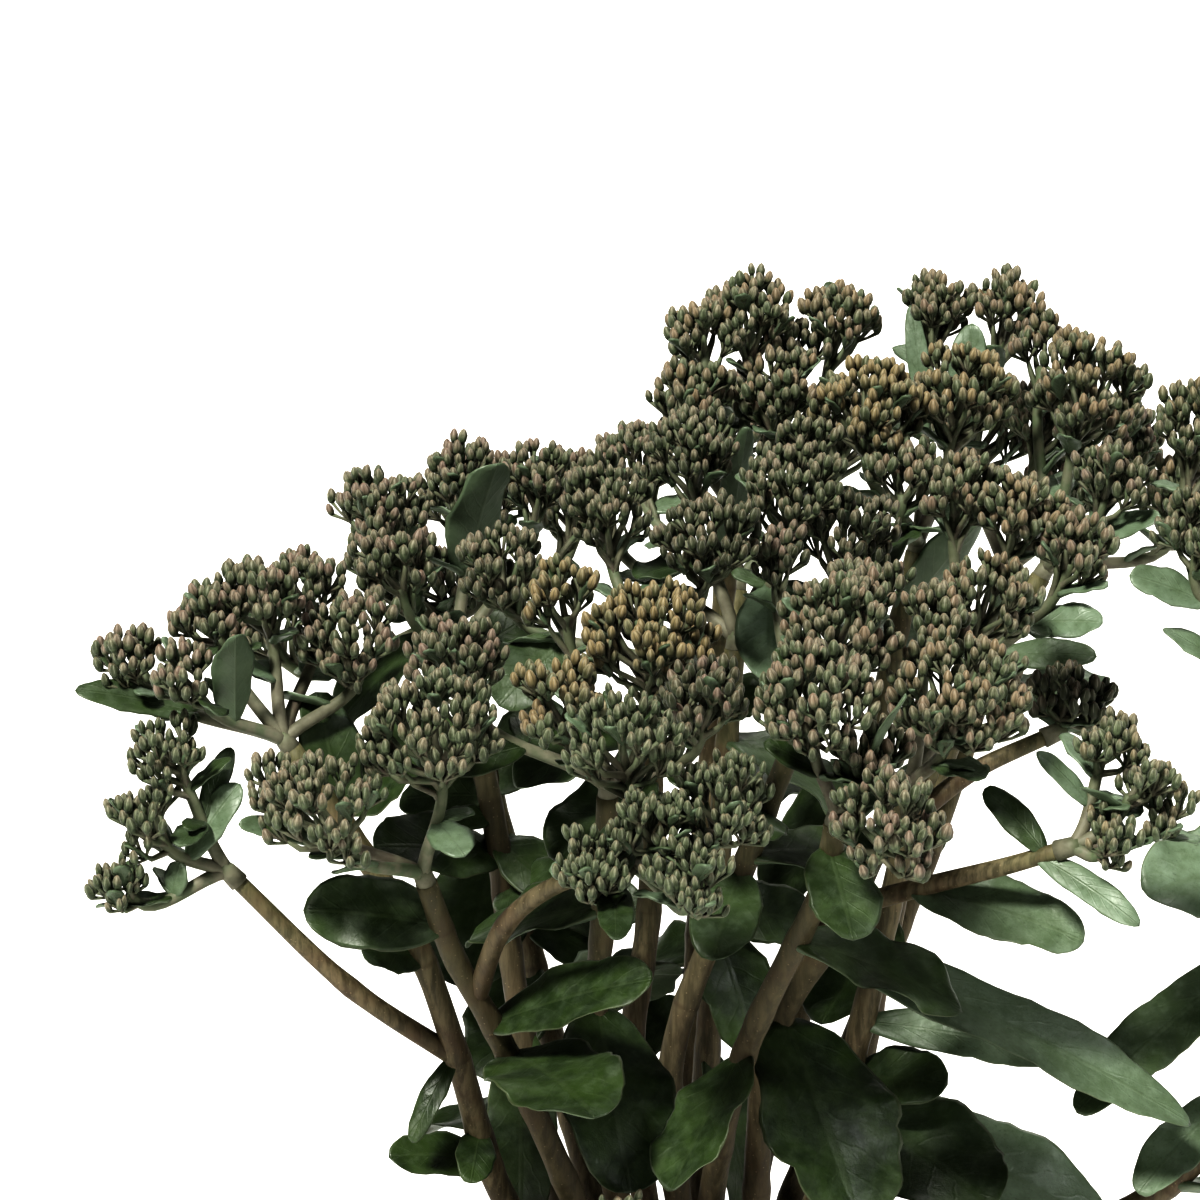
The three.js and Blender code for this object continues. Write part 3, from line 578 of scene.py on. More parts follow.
def swung_clear(leaf, wanted, owner):
    """The leaf turned aside from the azimuth it wants, as little as clears everything else, or none."""
    for swing in SWINGS:
        turned = {**leaf, "azimuth": wanted + swing}
        if is_clear(turned, owner):
            add_leaf_balls(turned)
            return [turned]
    return []


for name, made in shoots.items():
    for shoot in made:
        add_spine_balls(shoot["spine"], shoot["widths"][0], f"stem {name}")
for name, head in heads.items():
    for branch in head["branches"]:
        add_spine_balls(branch, BRANCH_WIDTH, f"head {name}")
    balls.extend((cyme["centre"], cyme["radius"] + CYME_ROOM, f"head {name}") for cyme in head["cymes"])

leaves = {}
for name, made in shoots.items():
    leaves[name] = [
        leaf_to(at_height(shoot["spine"], height), tip, width, roll)
        for shoot in made
        for height, *tip, width, roll in shoot["leaves"]
    ]
    for leaf in leaves[name]:
        add_leaf_balls(leaf)

# The other leaves climb each stem by the golden angle, mostly on its outer side, shorter towards the top
GOLDEN = 137.5
LOWEST_LEAF = 160
LEAF_LONGEST = 68
LEAF_SHORTENING = 0.11
LEAF_SHAPE = 0.66
TOP_ROOM = 12
OUTER_SHARE = 0.4

for name, stem in STEMS.items():
    draw = draw_from(100 + int(name))
    main = shoots[name][0]["spine"]
    span = main[-1][2] - TOP_ROOM - LOWEST_LEAF
    outward = atan2(main[-1][1], main[-1][0]) / DEG
    for i in range(stem["more"]):
        rise = span * (i + 0.3 + 0.5 * draw()) / stem["more"]
        length = LEAF_LONGEST - LEAF_SHORTENING * rise - 12 * draw()
        wanted = outward + OUTER_SHARE * ((i * GOLDEN + 180) % 360 - 180) + 20 * draw()
        leaf = {"base": at_height(main, LOWEST_LEAF + rise), "length": length, "width": LEAF_SHAPE * length}
        leaf |= {"pitch": 18 - 34 * draw(), "droop": 14 + 24 * draw(), "roll": 36 * draw() - 18}
        leaf["phase"] = draw()
        leaves[name] += swung_clear(leaf, wanted, f"stem {name}")

# The leaves among the flowers: those given, and a small one on every other branch
bracts = {}
for name, head in heads.items():
    draw = draw_from(500 + int(name))
    bracts[name] = [
        leaf_to(head["branches"][branch][1], tip, width, roll) for branch, *tip, width, roll in head["leaves"]
    ]
    for cyme, branch in zip(head["cymes"][::2], head["branches"][::2]):
        length = 9 + 0.45 * cyme["radius"] + 3 * draw()
        out = cyme["centre"] - head["fork"]
        outward = atan2(out[1], out[0]) / DEG
        leaf = {"base": branch[BRANCH_STEPS - 1], "length": length, "width": LEAF_SHAPE * length}
        leaf |= {"pitch": 20 - 30 * draw(), "droop": 10, "roll": 50 * draw() - 25, "phase": draw()}
        bracts[name] += swung_clear(leaf, outward + 140 * draw() - 70, f"head {name}")


# Meshes


class Shape:
    """Corners, faces and marks that become one mesh. A mark is four numbers at a corner for its material."""

    def __init__(self):
        self.corners, self.marks, self.faces, self.looks = [], [], [], []
        self.count = 0

    def add(self, corners, faces, marks, look):
        corners = np.asarray(corners, float).reshape(-1, 3)
        self.corners.append(corners)
        self.marks.append(np.broadcast_to(marks, (len(corners), 4)))
        for rows in faces:
            self.faces.append(np.asarray(rows) + self.count)
            self.looks.append(look)
        self.count += len(corners)

    def piece(self, name, materials):
        corners = np.concatenate(self.corners) * MM
        loops = np.concatenate([rows.ravel() for rows in self.faces])
        sizes = np.concatenate([np.full(len(rows), rows.shape[1]) for rows in self.faces])
        looks = np.concatenate([np.full(len(rows), look) for rows, look in zip(self.faces, self.looks)])
        mesh = bpy.data.meshes.new(name)
        mesh.vertices.add(len(corners))
        mesh.vertices.foreach_set("co", corners.ravel())
        mesh.loops.add(len(loops))
        mesh.loops.foreach_set("vertex_index", loops)
        mesh.polygons.add(len(sizes))
        mesh.polygons.foreach_set("loop_start", np.concatenate([[0], np.cumsum(sizes)[:-1]]))
        mesh.polygons.foreach_set("material_index", looks)
        mesh.polygons.foreach_set("use_smooth", np.ones(len(sizes), bool))
        mark = mesh.attributes.new("mark", "FLOAT_COLOR", "POINT")
        mark.data.foreach_set("color", np.concatenate(self.marks).ravel())
        mesh.update(calc_edges=True)
        mesh.validate()
        for material in materials:
            mesh.materials.append(material)
        piece = bpy.data.objects.new(name, mesh)
        bpy.context.scene.collection.objects.link(piece)
        return piece


def marks_of(size, *numbers):
    """The marks of an array of corners of that size, from four numbers or arrays that fit it."""
    marks = np.empty((*size, 4))
    for i, number in enumerate(numbers):
        marks[..., i] = number
    return marks.reshape(-1, 4)


def draws(draw, count):
    """The next numbers of a draw."""
    return np.array([draw() for _ in range(count)])


def round_angles(sides):
    return 2 * pi * np.arange(sides) / sides


def grid_faces(rows, sides, starts):
    """The faces between the rings of tubes, whose corners start at the numbers given."""
    k = np.arange(sides)
    ring = np.arange(rows - 1)[:, None] * sides
    quads = np.stack([ring + k, ring + (k + 1) % sides, ring + sides + (k + 1) % sides, ring + sides + k], -1)
    return (quads.reshape(1, -1, 4) + starts[:, None, None]).reshape(-1, 4)


def tube_faces(rows, sides, count=1):
    """The faces of closed tubes, each of so many rings and so many corners to a ring."""
    starts = np.arange(count) * rows * sides
    foot = starts[:, None] + np.arange(sides)
    return [grid_faces(rows, sides, starts), foot[:, ::-1], foot + (rows - 1) * sides]


def pointed_faces(rows, sides, count=1):
    """The same for tubes that end in a point, which comes after the corners of their rings."""
    starts = np.arange(count) * (rows * sides + 1)
    k = np.arange(sides)
    last = (rows - 1) * sides
    fan = np.stack([last + k, last + (k + 1) % sides, np.full(sides, last + sides)], -1)
    fans = (fan + starts[:, None, None]).reshape(-1, 3)
    return [grid_faces(rows, sides, starts), fans, starts[:, None] + k[::-1]]


def flipped(faces):
    return [rows[:, ::-1] for rows in faces]


def tubes(courses, radii, sides):
    """The corners of many tubes at once, from their middle points and their radii, each by ring and tube."""
    rows, count = courses.shape[:2]
    along = np.empty_like(courses)
    along[1:-1] = courses[2:] - courses[:-2]
    along[0] = courses[1] - courses[0]
    along[-1] = courses[-1] - courses[-2]
    along = unit(along)
    helper = np.where(np.abs(along[0, :, 2:]) < 0.8, [0.0, 0.0, 1.0], [1.0, 0.0, 0.0])
    across = unit(np.cross(helper, along[0]))
    angles = round_angles(sides)
    corners = np.empty((count, rows, sides, 3))
    for i in range(rows):
        across = unit(across - along[i] * np.sum(across * along[i], axis=1, keepdims=True))
        up = np.cross(along[i], across)
        ring = across[:, None] * np.cos(angles)[:, None] + up[:, None] * np.sin(angles)[:, None]
        corners[:, i] = courses[i][:, None] + ring * radii[i][:, None, None]
    return corners


# Leaves

WIDE_RING = (-1, -0.93, -0.76, -0.52, -0.27, -0.08, 0, 0.08, 0.27, 0.52, 0.76, 0.93, 1)
SMALL_RING = (-1, -0.86, -0.5, -0.12, 0, 0.12, 0.5, 0.86, 1)
BRACT_RING = (-1, -0.7, 0, 0.7, 1)
RIB_GROOVE = 0.012
TOOTH_DEPTH = 0.045
RIPPLE = 0.012

# A leaf is painted paler the further its tip stands to the right and the higher up it grows: painted light,
# brighter to the right and above, and painted shade on the low leaves
PAINTED_LIGHT_RIGHT_FROM = 50
PAINTED_LIGHT_RIGHT_SPAN = 70
IN_LIGHT = 240
IN_LIGHT_SPAN = 90

# The place of each material in a stem's piece, stem and leaf, or a head's, bud, leaf and stalk
STEM_LOOK, LEAF_LOOK, STALK_LOOK, BUD_LOOK = 0, 1, 2, 0


def add_leaf(shape, leaf, draw, dust=0):
    """A fleshy blade with a waved and bluntly toothed margin, and a groove along its midrib."""
    length, width, phase = leaf["length"], leaf["width"], leaf["phase"]
    if length < BRACT:
        across, count = BRACT_RING, 9
    elif length < SMALL_LEAF:
        across, count = SMALL_RING, 15
    else:
        across, count = WIDE_RING, 26
    t = np.linspace(0, 1, count + 1)[:-1]
    s = 1 - (1 - t) ** 1.35
    rib, side, face = leaf_frame(leaf, s)
    half = half_width(leaf, s, 1.0)[:, None]
    thick = (BLADE_HALF * (1.1 - 0.5 * s) + ROOT_SWELL * width * (1 - s) ** 6)[:, None]
    s = s[:, None]
    q = np.array(across + across[-2:0:-1])
    lower = np.arange(len(q)) >= len(across)
    level = np.sqrt(np.maximum(0, 1 - q**2)) * np.where(lower, -1, 1)

    teeth = 3 + int(length / 14)
    steps = teeth * s + phase + 0.3 * np.sign(q) + 0.3 * np.sin(9 * s + 7 * phase + q)
    slant = steps % 1
    uneven = 0.25 + 0.75 * np.sin(2.4 * np.floor(steps) + 5 * phase + q) ** 2
    depth = TOOTH_DEPTH * width * uneven * np.clip(4 * s - 1, 0, 1) * np.clip(8 * (1 - s), 0, 1)
    tooth = 1 - depth / np.maximum(half, 0.1) * np.abs(q) ** 5 * (1 - slant) ** 2
    reach = np.abs(q) ** 1.6
    fade = np.minimum(1, 3 * s)
    turns = LEAF_WAVES * s + phase + 0.2 * np.sign(q)
    wave = LEAF_WAVE * width * fade * np.sin(2 * pi * turns) * reach
    ripple = RIPPLE * width * np.sin(2 * pi * (5.3 * s + 3 * phase + 0.4 * np.sign(q)))
    cup = LEAF_CUP * half * reach
    groove = -RIB_GROOVE * width * np.exp(-((q / 0.1) ** 2)) * (1 - s) ** 0.5

    out = (q * half * tooth)[..., None]
    rise = (cup + wave + ripple * reach * fade + thick * level + groove)[..., None]
    corners = rib[:, None] + side[:, None] * out + face[:, None] * rise
    tip, _, _ = leaf_frame(leaf, 1)
    # Painted light and shade: the third mark lifts leaves on the right and high up towards pale, and keeps
    # low leaves dark, over their own random tone and dust
    painted_light_right = np.clip((tip[0, 0] - PAINTED_LIGHT_RIGHT_FROM) / PAINTED_LIGHT_RIGHT_SPAN, 0, 1)
    light = np.clip((leaf["base"][2] - IN_LIGHT) / IN_LIGHT_SPAN, 0, 1)
    pale_and_painted_light = min(1, draw() * (0.2 + 0.8 * light) + 0.75 * painted_light_right + dust)
    under = np.where(level < 0, 1, np.where(level > 0, 0, 0.5))
    marks = np.vstack([marks_of(corners.shape[:2], s, 0.5 + 0.5 * q, pale_and_painted_light, under), [1, 0.5, pale_and_painted_light, 0.5]])
    faces = flipped(pointed_faces(*corners.shape[:2]))
    shape.add(np.vstack([corners.reshape(-1, 3), tip]), faces, marks, LEAF_LOOK)


# Stems

STEM_SIDES = 12
NODE_SPACING = 24
NODE_REACH = 3.2
NODE_END = 8
EASINGS = 3


def smoothed(course):
    """The row of points with its kinks eased, its ends kept."""
    course = course.copy()
    for _ in range(EASINGS):
        course[1:-1] = 0.5 * course[1:-1] + 0.25 * (course[:-2] + course[2:])
    return course


def add_shoot(shape, shoot, bases, draw):
    """A fleshy stem, a little thicker where leaves grow from it or grew before."""
    course = smoothed(shoot["course"])
    rows = len(course)
    run = np.linspace(0, 1, rows)
    height = course[:, 2]
    joints = [base[2] for base in bases]
    level = height[0] + NODE_SPACING * (0.5 + draw())
    while level < height[-1] - NODE_END:
        joints.append(level)
        level += NODE_SPACING * (0.8 + 0.5 * draw())
    swell = np.zeros(rows)
    for joint in joints:
        swell = np.maximum(swell, np.exp(-(((height - joint) / NODE_REACH) ** 2)))
    radii = lerp(*shoot["widths"], run) * (0.96 + 0.11 * swell)
    around = np.arange(STEM_SIDES) / STEM_SIDES
    marks = marks_of((1, rows, STEM_SIDES), run[:, None], swell[:, None], draw(), around)
    corners = tubes(course[:, None], radii[:, None], STEM_SIDES)
    shape.add(corners, tube_faces(rows, STEM_SIDES), marks, STEM_LOOK)


# Flower heads

DOME_SPAN = 132 * DEG
TUFT_AREA = 110
TUFT_INSET = 2.6
TUFT_UNEVEN = 2.4
TUFT_BUDS = 6
TUFT_ROUNDING = 0.06
LOW_TUFT = 0.55
LOST_SHARE = 0.25
DOME_SHARE = 0.8
DOME_LIFT = 1.8
BUD_PITCH = 2.0
BUD_DROP = 3.4
BUD_LENGTH = 4.7
BUD_WIDTH = 2.8
BUD_SIDES = 10
BUD_PROFILE = ((0.02, 0.26), (0.24, 0.46), (0.6, 0.48), (0.88, 0.27))
CLUSTER_ROOM = 0.93
PUSHES = 14
STALK_SIDES = 4
BRANCH_SIDES = 9
STUB_SIDES = 10
STUB_REACH = (-2, BRANCH_ROOT, 5)
STUB_RADII = (2.9, 2.6, 1.8)
BRANCH_RADII = (2.0, 1.45)
RAY_RADII = (1.15, 1.05, 0.95, 0.85, 0.5)
PEDICEL_RADII = (0.52, 0.42, 0.62)

# Small leaves: the share of tufts with one, where a branch bears them, their shape, and how dusty they look
TUFT_LEAF_SHARE = 0.4
BRANCH_LEAVES = (5, 8)
SMALL_SHAPE = 0.52
SMALL_DUST = 0.3
BRACT_DUST = 0.2


def tufts_of(cyme, course, painted_light, draw):
    """A cyme's tufts: each one's top, the way it faces, and the ends of the ray that bears it."""
    centre, facing, u, v, hub, radius = (cyme[k] for k in ("centre", "facing", "u", "v", "hub", "radius"))
    dome = 1 - cos(DOME_SPAN)
    area = 2 * pi * radius**2 * dome * DOME_SHARE
    count = max(4, round(area / TUFT_AREA))
    first = 360 * draw()
    made = []
    for j in range(count):
        polar = acos(1 - (j + 0.5) / count * dome)
        turn = (first + GOLDEN * j + 30 * draw()) * DEG
        out = (radius - TUFT_INSET + TUFT_UNEVEN * draw()) * sin(polar)
        rise = DOME_DEPTH * radius * cos(polar) + DOME_LIFT + TUFT_UNEVEN * draw()
        top = centre + facing * rise + u * out * cos(turn) + v * out * sin(turn)
        if polar > LOW_TUFT * DOME_SPAN and draw() < LOST_SHARE:
            continue
        aim = unit(0.5 * unit(top - hub) + 0.6 * UP)
        low = polar / DOME_SPAN
        start = course[-1 - round(3 * low)]
        ray_end = top - aim * min(10 + 0.1 * radius, 0.7 * np.linalg.norm(top - start))
        # Tufts low on the dome get less painted light, towards painted shade
        painted_warm_light = painted_light - 0.5 * max(0, low - 0.5)
        made.append({"top": top, "aim": aim, "start": start, "hub": ray_end, "cyme": cyme, "painted_light": painted_warm_light})
    return made


def buds_of(tufts, young, draw):
    """A head's buds: where each one's stalk starts and which way, its middle, axis, length, width, and the
    light and shade painted on it.
    """
    rows = []
    for tuft in tufts:
        top, aim, hub, cyme = (tuft[k] for k in ("top", "aim", "hub", "cyme"))
        e1 = unit(np.cross(aim, [0.3, 1.0, 0.2]))
        e2 = np.cross(aim, e1)
        first = 360 * draw()
        for k in range(TUFT_BUDS + int(4 * draw())):
            turn = (first + GOLDEN * k + 20 * draw()) * DEG
            out = BUD_PITCH * sqrt(k + 0.35)
            drop = TUFT_ROUNDING * out**2 + BUD_DROP * draw() ** 1.3
            tip = top + (e1 * cos(turn) + e2 * sin(turn)) * out - aim * drop
            apart = tip - cyme["centre"]
            flat = apart - cyme["facing"] * (apart @ cyme["facing"])
            reach = np.linalg.norm(flat)
            tip = tip - flat * max(0, 1 - (cyme["radius"] + 1) / reach)
            jitter = draws(draw, 3) - 0.5
            axis = unit(0.4 * unit(tip - hub) + 0.6 * UP + 0.3 * jitter)
            size = 0.8 + 0.34 * draw()
            length = BUD_LENGTH * size * (1 - 0.1 * young)
            width = BUD_WIDTH * size * (0.9 + 0.16 * draw()) * (1 - 0.22 * young)
            rows.append((hub, aim, tip - axis * length / 2, axis, length, width, tuft["painted_light"]))
    return [np.array(column) for column in zip(*rows)]


def pushed_apart(middles, widths):
    """The buds' middles, moved until they don't crowd into each other."""
    middles = middles.copy()
    room = CLUSTER_ROOM * (widths[:, None] + widths[None]) / 2
    for _ in range(PUSHES):
        apart = middles[:, None] - middles[None]
        distance = np.linalg.norm(apart, axis=2)
        np.fill_diagonal(distance, 1e9)
        short = np.maximum(0, room - distance)
        middles += np.sum(apart / distance[..., None] * short[..., None], axis=1) * 0.4
    return middles


def add_buds(shape, middles, axes, lengths, widths, painted_light, young, draw):
    """Closed buds: pointed ovals with five keels, standing in a small green cup."""
    count = len(middles)
    rise, width = np.array(BUD_PROFILE).T
    angle = round_angles(BUD_SIDES)
    keel = np.cos(5 * angle)
    cup = np.clip(1 - np.abs(rise - 0.12) / 0.14, 0, 1)
    lobes = 1 + np.where(rise[:, None] > 0.3, 0.07, 0.0) * keel - 0.09 * cup[:, None] * keel
    rings = np.stack([np.cos(angle) * width[:, None] * lobes, np.sin(angle) * width[:, None] * lobes], -1)

    e1 = unit(np.cross(axes, [0.21, 0.43, 0.88]))
    e2 = np.cross(axes, e1)
    twist = 2 * pi * draws(draw, count)[:, None]
    f1 = e1 * np.cos(twist) + e2 * np.sin(twist)
    f2 = np.cross(axes, f1)
    base = middles - axes * lengths[:, None] / 2
    flat = rings[None] * widths[:, None, None, None]
    corners = (
        base[:, None, None]
        + axes[:, None, None] * (rise[:, None, None] * lengths[:, None, None, None])
        + f1[:, None, None] * flat[..., :1]
        + f2[:, None, None] * flat[..., 1:]
    )
    tips = base + axes * lengths[:, None]
    corners = np.concatenate([corners.reshape(count, -1, 3), tips[:, None]], axis=1)
    luck = draws(draw, count)[:, None]
    # The fourth mark is the painted warm light and shade on each bud, spread a little by chance
    marks = marks_of(
        corners.shape[:2],
        np.append(np.repeat(rise, BUD_SIDES), 1),
        np.append(np.tile(0.5 + 0.5 * keel, len(rise)), 0.6),
        luck * (1 - 0.85 * young),
        np.clip(0.5 + 0.5 * painted_light[:, None] + 0.35 * (luck - 0.5), 0, 1),
    )
    shape.add(corners, pointed_faces(len(rise), BUD_SIDES, count), marks, BUD_LOOK)


def add_stalks(shape, courses, radii, sides, draw):
    """Tapered stalks along many courses at once, with a radius for each ring."""
    rows, count = courses.shape[:2]
    radii = np.broadcast_to(np.reshape(radii, (-1, 1)), (rows, count))
    run = np.linspace(0, 1, rows)[:, None]
    marks = marks_of((count, rows, sides), run, 0, draws(draw, count)[:, None, None], 0)
    shape.add(tubes(courses, radii, sides), tube_faces(rows, sides, count), marks, STALK_LOOK)


def add_pedicels(shape, roots, aims, middles, axes, lengths, draw):
    """The buds' own stalks, which run a little way into them."""
    ends = middles - axes * (0.42 * lengths[:, None])
    reach = np.linalg.norm(ends - roots, axis=1, keepdims=True)
    courses = bezier(roots, roots + aims * 0.35 * reach, ends - axes * 0.4 * reach, ends, 2)
    add_stalks(shape, courses, PEDICEL_RADII, STALK_SIDES, draw)


def add_rays(shape, cyme, tufts, draw):
    """The stalks that carry a cyme's tufts, spreading from the end of its branch."""
    hubs, aims, roots = (np.array([tuft[k] for tuft in tufts]) for k in ("hub", "aim", "start"))
    reach = np.linalg.norm(hubs - roots, axis=1, keepdims=True)
    leave, arrive = roots + cyme["facing"] * 0.4 * reach, hubs - aims * 0.35 * reach
    add_stalks(shape, bezier(roots, leave, arrive, hubs + aims * 0.8, 4), RAY_RADII, STALK_SIDES, draw)


def add_small_leaf(shape, base, aim, length, draw):
    """A little leaf that leaves its stalk near the way the stalk points."""
    leaf = {"base": base, "length": length, "width": SMALL_SHAPE * length}
    leaf["azimuth"] = atan2(aim[1], aim[0]) / DEG + 80 * (draw() - 0.5)
    leaf["pitch"] = asin(aim[2]) / DEG * 0.6 + 20 * draw()
    leaf |= {"droop": 12 + 16 * draw(), "roll": 60 * (draw() - 0.5), "phase": draw()}
    add_leaf(shape, leaf, draw, SMALL_DUST)


# Materials


class Look:
    """A material and short ways to add nodes to it. A number in inputs is set, and an output is linked."""

    def __init__(self, name):
        self.material = bpy.data.materials.new(name)
        self.material.use_nodes = True
        self.tree = self.material.node_tree
        self.shader = self.tree.nodes["Principled BSDF"]

    def put(self, socket, value):
        if isinstance(value, bpy.types.NodeSocket):
            self.tree.links.new(value, socket)
        elif isinstance(value, tuple) and len(value) == 3 and socket.type == "RGBA":
            socket.default_value = (*value, 1)
        else:
            socket.default_value = value

    def add(self, kind, inputs, output=0, **settings):
        node = self.tree.nodes.new("ShaderNode" + kind)
        for key, value in settings.items():
            setattr(node, key, value)
        for key, value in inputs.items():
            self.put(node.inputs[key], value)
        return node.outputs[output]

    def place(self):
        return self.add("TexCoord", {}, "Object")

    def noise(self, size, detail=3, rough=0.55, stretch=None):
        """Noise whose features are about size millimetres across, from 0 to 1."""
        vector = self.place()
        if stretch:
            vector = self.add("Mapping", {"Vector": vector, "Scale": stretch})
        inputs = {"Vector": vector, "Scale": 1 / (size * MM), "Detail": detail, "Roughness": rough}
        return self.add("TexNoise", inputs, "Fac")

    def math(self, operation, a, b=0.0):
        return self.add("Math", {0: a, 1: b}, operation=operation)

    def times(self, a, b):
        return self.math("MULTIPLY", a, b)

    def span(self, value, low, high, to_low=0.0, to_high=1.0):
        inputs = {"Value": value, "From Min": low, "From Max": high, "To Min": to_low, "To Max": to_high}
        return self.add("MapRange", inputs, interpolation_type="SMOOTHSTEP")

    def mix(self, share, a, b):
        node = self.tree.nodes.new("ShaderNodeMix")
        node.data_type = "RGBA"
        self.put(node.inputs[0], share)
        self.put(node.inputs[6], a)
        self.put(node.inputs[7], b)
        return node.outputs[2]

    def layer(self, under, over, *span):
        """One colour over another where a value has gone from low to high."""
        return self.mix(self.span(*span), under, over)

    def marks(self):
        """The four numbers of the corners' marks."""
        node = self.tree.nodes.new("ShaderNodeAttribute")
        node.attribute_name = "mark"
        split = self.tree.nodes.new("ShaderNodeSeparateColor")
        self.tree.links.new(node.outputs["Color"], split.inputs[0])
        return (*split.outputs[:3], node.outputs["Alpha"])

    def bump(self, height, depth, strength=1.0, normal=None):
        inputs = {"Height": height, "Distance": depth * MM, "Strength": strength}
        if normal is not None:
            inputs["Normal"] = normal
        return self.add("Bump", inputs)

    def finish(self, color, roughness, normal, **fixed):
        self.put(self.shader.inputs["Base Color"], color)
        self.put(self.shader.inputs["Roughness"], roughness)
        self.put(self.shader.inputs["Normal"], normal)
        for key, value in fixed.items():
            self.put(self.shader.inputs[key.replace("_", " ")], value)
        return self.material


def leaf_look():
    look = Look("stonecrop_leaf")
    # The third mark is the leaf's random tone with painted light on it: a higher mark makes the blade paler,
    # bloomier and mottled, so leaves on the right and high up are painted paler and low leaves are painted
    # darker as shade
    along, across, luck, under = look.marks()
    off = look.math("ABSOLUTE", look.math("SUBTRACT", look.times(across, 2.0), 1.0))
    patches = look.noise(11, 4, 0.6)
    specks = look.noise(1.1, 3, 0.7)
    deep = look.layer((0.014, 0.027, 0.006), (0.036, 0.06, 0.016), patches, 0.35, 0.65)
    toned = look.layer(deep, (0.085, 0.12, 0.062), luck, 0.2, 1.0, 0.0, 0.8)
    bloom = look.times(look.span(look.noise(4, 5, 0.65), 0.4, 0.75), look.span(luck, 0.3, 1.0, 0.2, 0.7))
    bloomed = look.mix(bloom, toned, (0.15, 0.195, 0.13))
    mottling = look.span(luck, 0.6, 1.0, 0.0, 0.6)
    mottled = look.times(mottling, look.span(look.noise(7, 5, 0.7), 0.3, 0.7, 0.35, 1.0))
    bloomed = look.mix(mottled, bloomed, (0.18, 0.235, 0.17))
    speckled = look.layer(bloomed, (0.02, 0.03, 0.012), specks, 0.56, 0.75, 0.0, 0.4)

    lines = look.math("SUBTRACT", look.times(along, 7.0), look.times(off, 1.9))
    wander = look.times(look.noise(9, 2), 0.7)
    saw = look.math("FRACT", look.math("ADD", look.math("ADD", lines, wander), 8.0))
    apart = look.math("ABSOLUTE", look.math("SUBTRACT", saw, 0.5))
    vein = look.math("SUBTRACT", 1.0, look.span(apart, 0.0, 0.1))
    vein = look.times(vein, look.span(off, 1.0, 0.6))
    rib = look.span(off, 0.09, 0.01)
    veins = look.math("MAXIMUM", look.times(vein, 0.45), rib)
    veined = look.mix(look.times(veins, 0.14), speckled, (0.1, 0.13, 0.065))
    margin = look.layer(veined, (0.14, 0.15, 0.09), off, 0.93, 1.0, 0.0, 0.5)
    below = look.layer((0.075, 0.105, 0.06), (0.12, 0.16, 0.1), patches, 0.3, 0.7)
    below = look.mix(look.times(veins, 0.3), below, (0.16, 0.19, 0.125))
    color = look.layer(margin, below, under, 0.4, 0.6)

    height = look.math("SUBTRACT", look.times(look.noise(2.4, 4, 0.6), 0.6), look.times(veins, 0.3))
    fine = look.bump(look.noise(0.5, 2), 0.05, 0.6)
    normal = look.bump(height, 0.35, 0.9, fine)
    roughness = look.span(look.noise(6, 3), 0.3, 0.7, 0.36, 0.55)
    sheen = {"Sheen_Weight": 0.06, "Sheen_Roughness": 0.5, "Sheen_Tint": (0.8, 0.9, 0.8)}
    return look.finish(color, roughness, normal, Specular_IOR_Level=0.5, **sheen)


def stem_look():
    look = Look("stonecrop_stem")
    along, joint, luck, _ = look.marks()
    streaks = look.noise(2.2, 4, 0.65, (1, 1, 0.14))
    bark = look.layer((0.07, 0.058, 0.032), (0.178, 0.15, 0.092), streaks, 0.35, 0.65)
    green = look.layer((0.07, 0.082, 0.036), (0.13, 0.135, 0.066), streaks, 0.3, 0.7)
    fresh = look.times(look.span(along, 0.55, 1.0), 0.55)
    # Darker towards the foot of the stem: older bark, and painted shade under the canopy
    aged_and_shaded = look.layer(bark, (0.04, 0.03, 0.014), along, 0.45, 0.05, 0.0, 0.5)
    toned = look.mix(fresh, aged_and_shaded, green)
    blush = look.times(look.span(look.noise(14, 3), 0.45, 0.7), 0.45)
    toned = look.mix(blush, toned, (0.11, 0.07, 0.042))
    toned = look.layer(toned, (0.055, 0.045, 0.026), luck, 0.35, 1.0, 0.0, 0.6)
    ringed = look.mix(look.times(look.span(joint, 0.75, 1.0), 0.45), toned, (0.05, 0.034, 0.02))
    pores = look.add("TexVoronoi", {"Vector": look.place(), "Scale": 1 / (1.9 * MM)}, "Distance")
    dots = look.span(pores, 0.16, 0.05)
    color = look.mix(look.times(dots, 0.5), ringed, (0.3, 0.24, 0.15))
    ridges = look.bump(streaks, 0.35, 0.8)
    normal = look.bump(dots, 0.15, 0.5, ridges)
    return look.finish(color, look.span(streaks, 0.3, 0.7, 0.5, 0.72), normal, Specular_IOR_Level=0.35)


def stalk_look():
    look = Look("flower_stalk")
    along, _, luck, _ = look.marks()
    cloud = look.noise(4, 3)
    base = look.mix(luck, (0.13, 0.108, 0.085), (0.105, 0.135, 0.08))
    toned = look.layer(base, (0.17, 0.165, 0.12), cloud, 0.35, 0.65)
    color = look.layer(toned, (0.1, 0.13, 0.07), along, 0.3, 1.0, 0.0, 0.6)
    normal = look.bump(look.noise(1.0, 3, 0.6), 0.12, 0.7)
    return look.finish(color, 0.6, normal, Specular_IOR_Level=0.35)


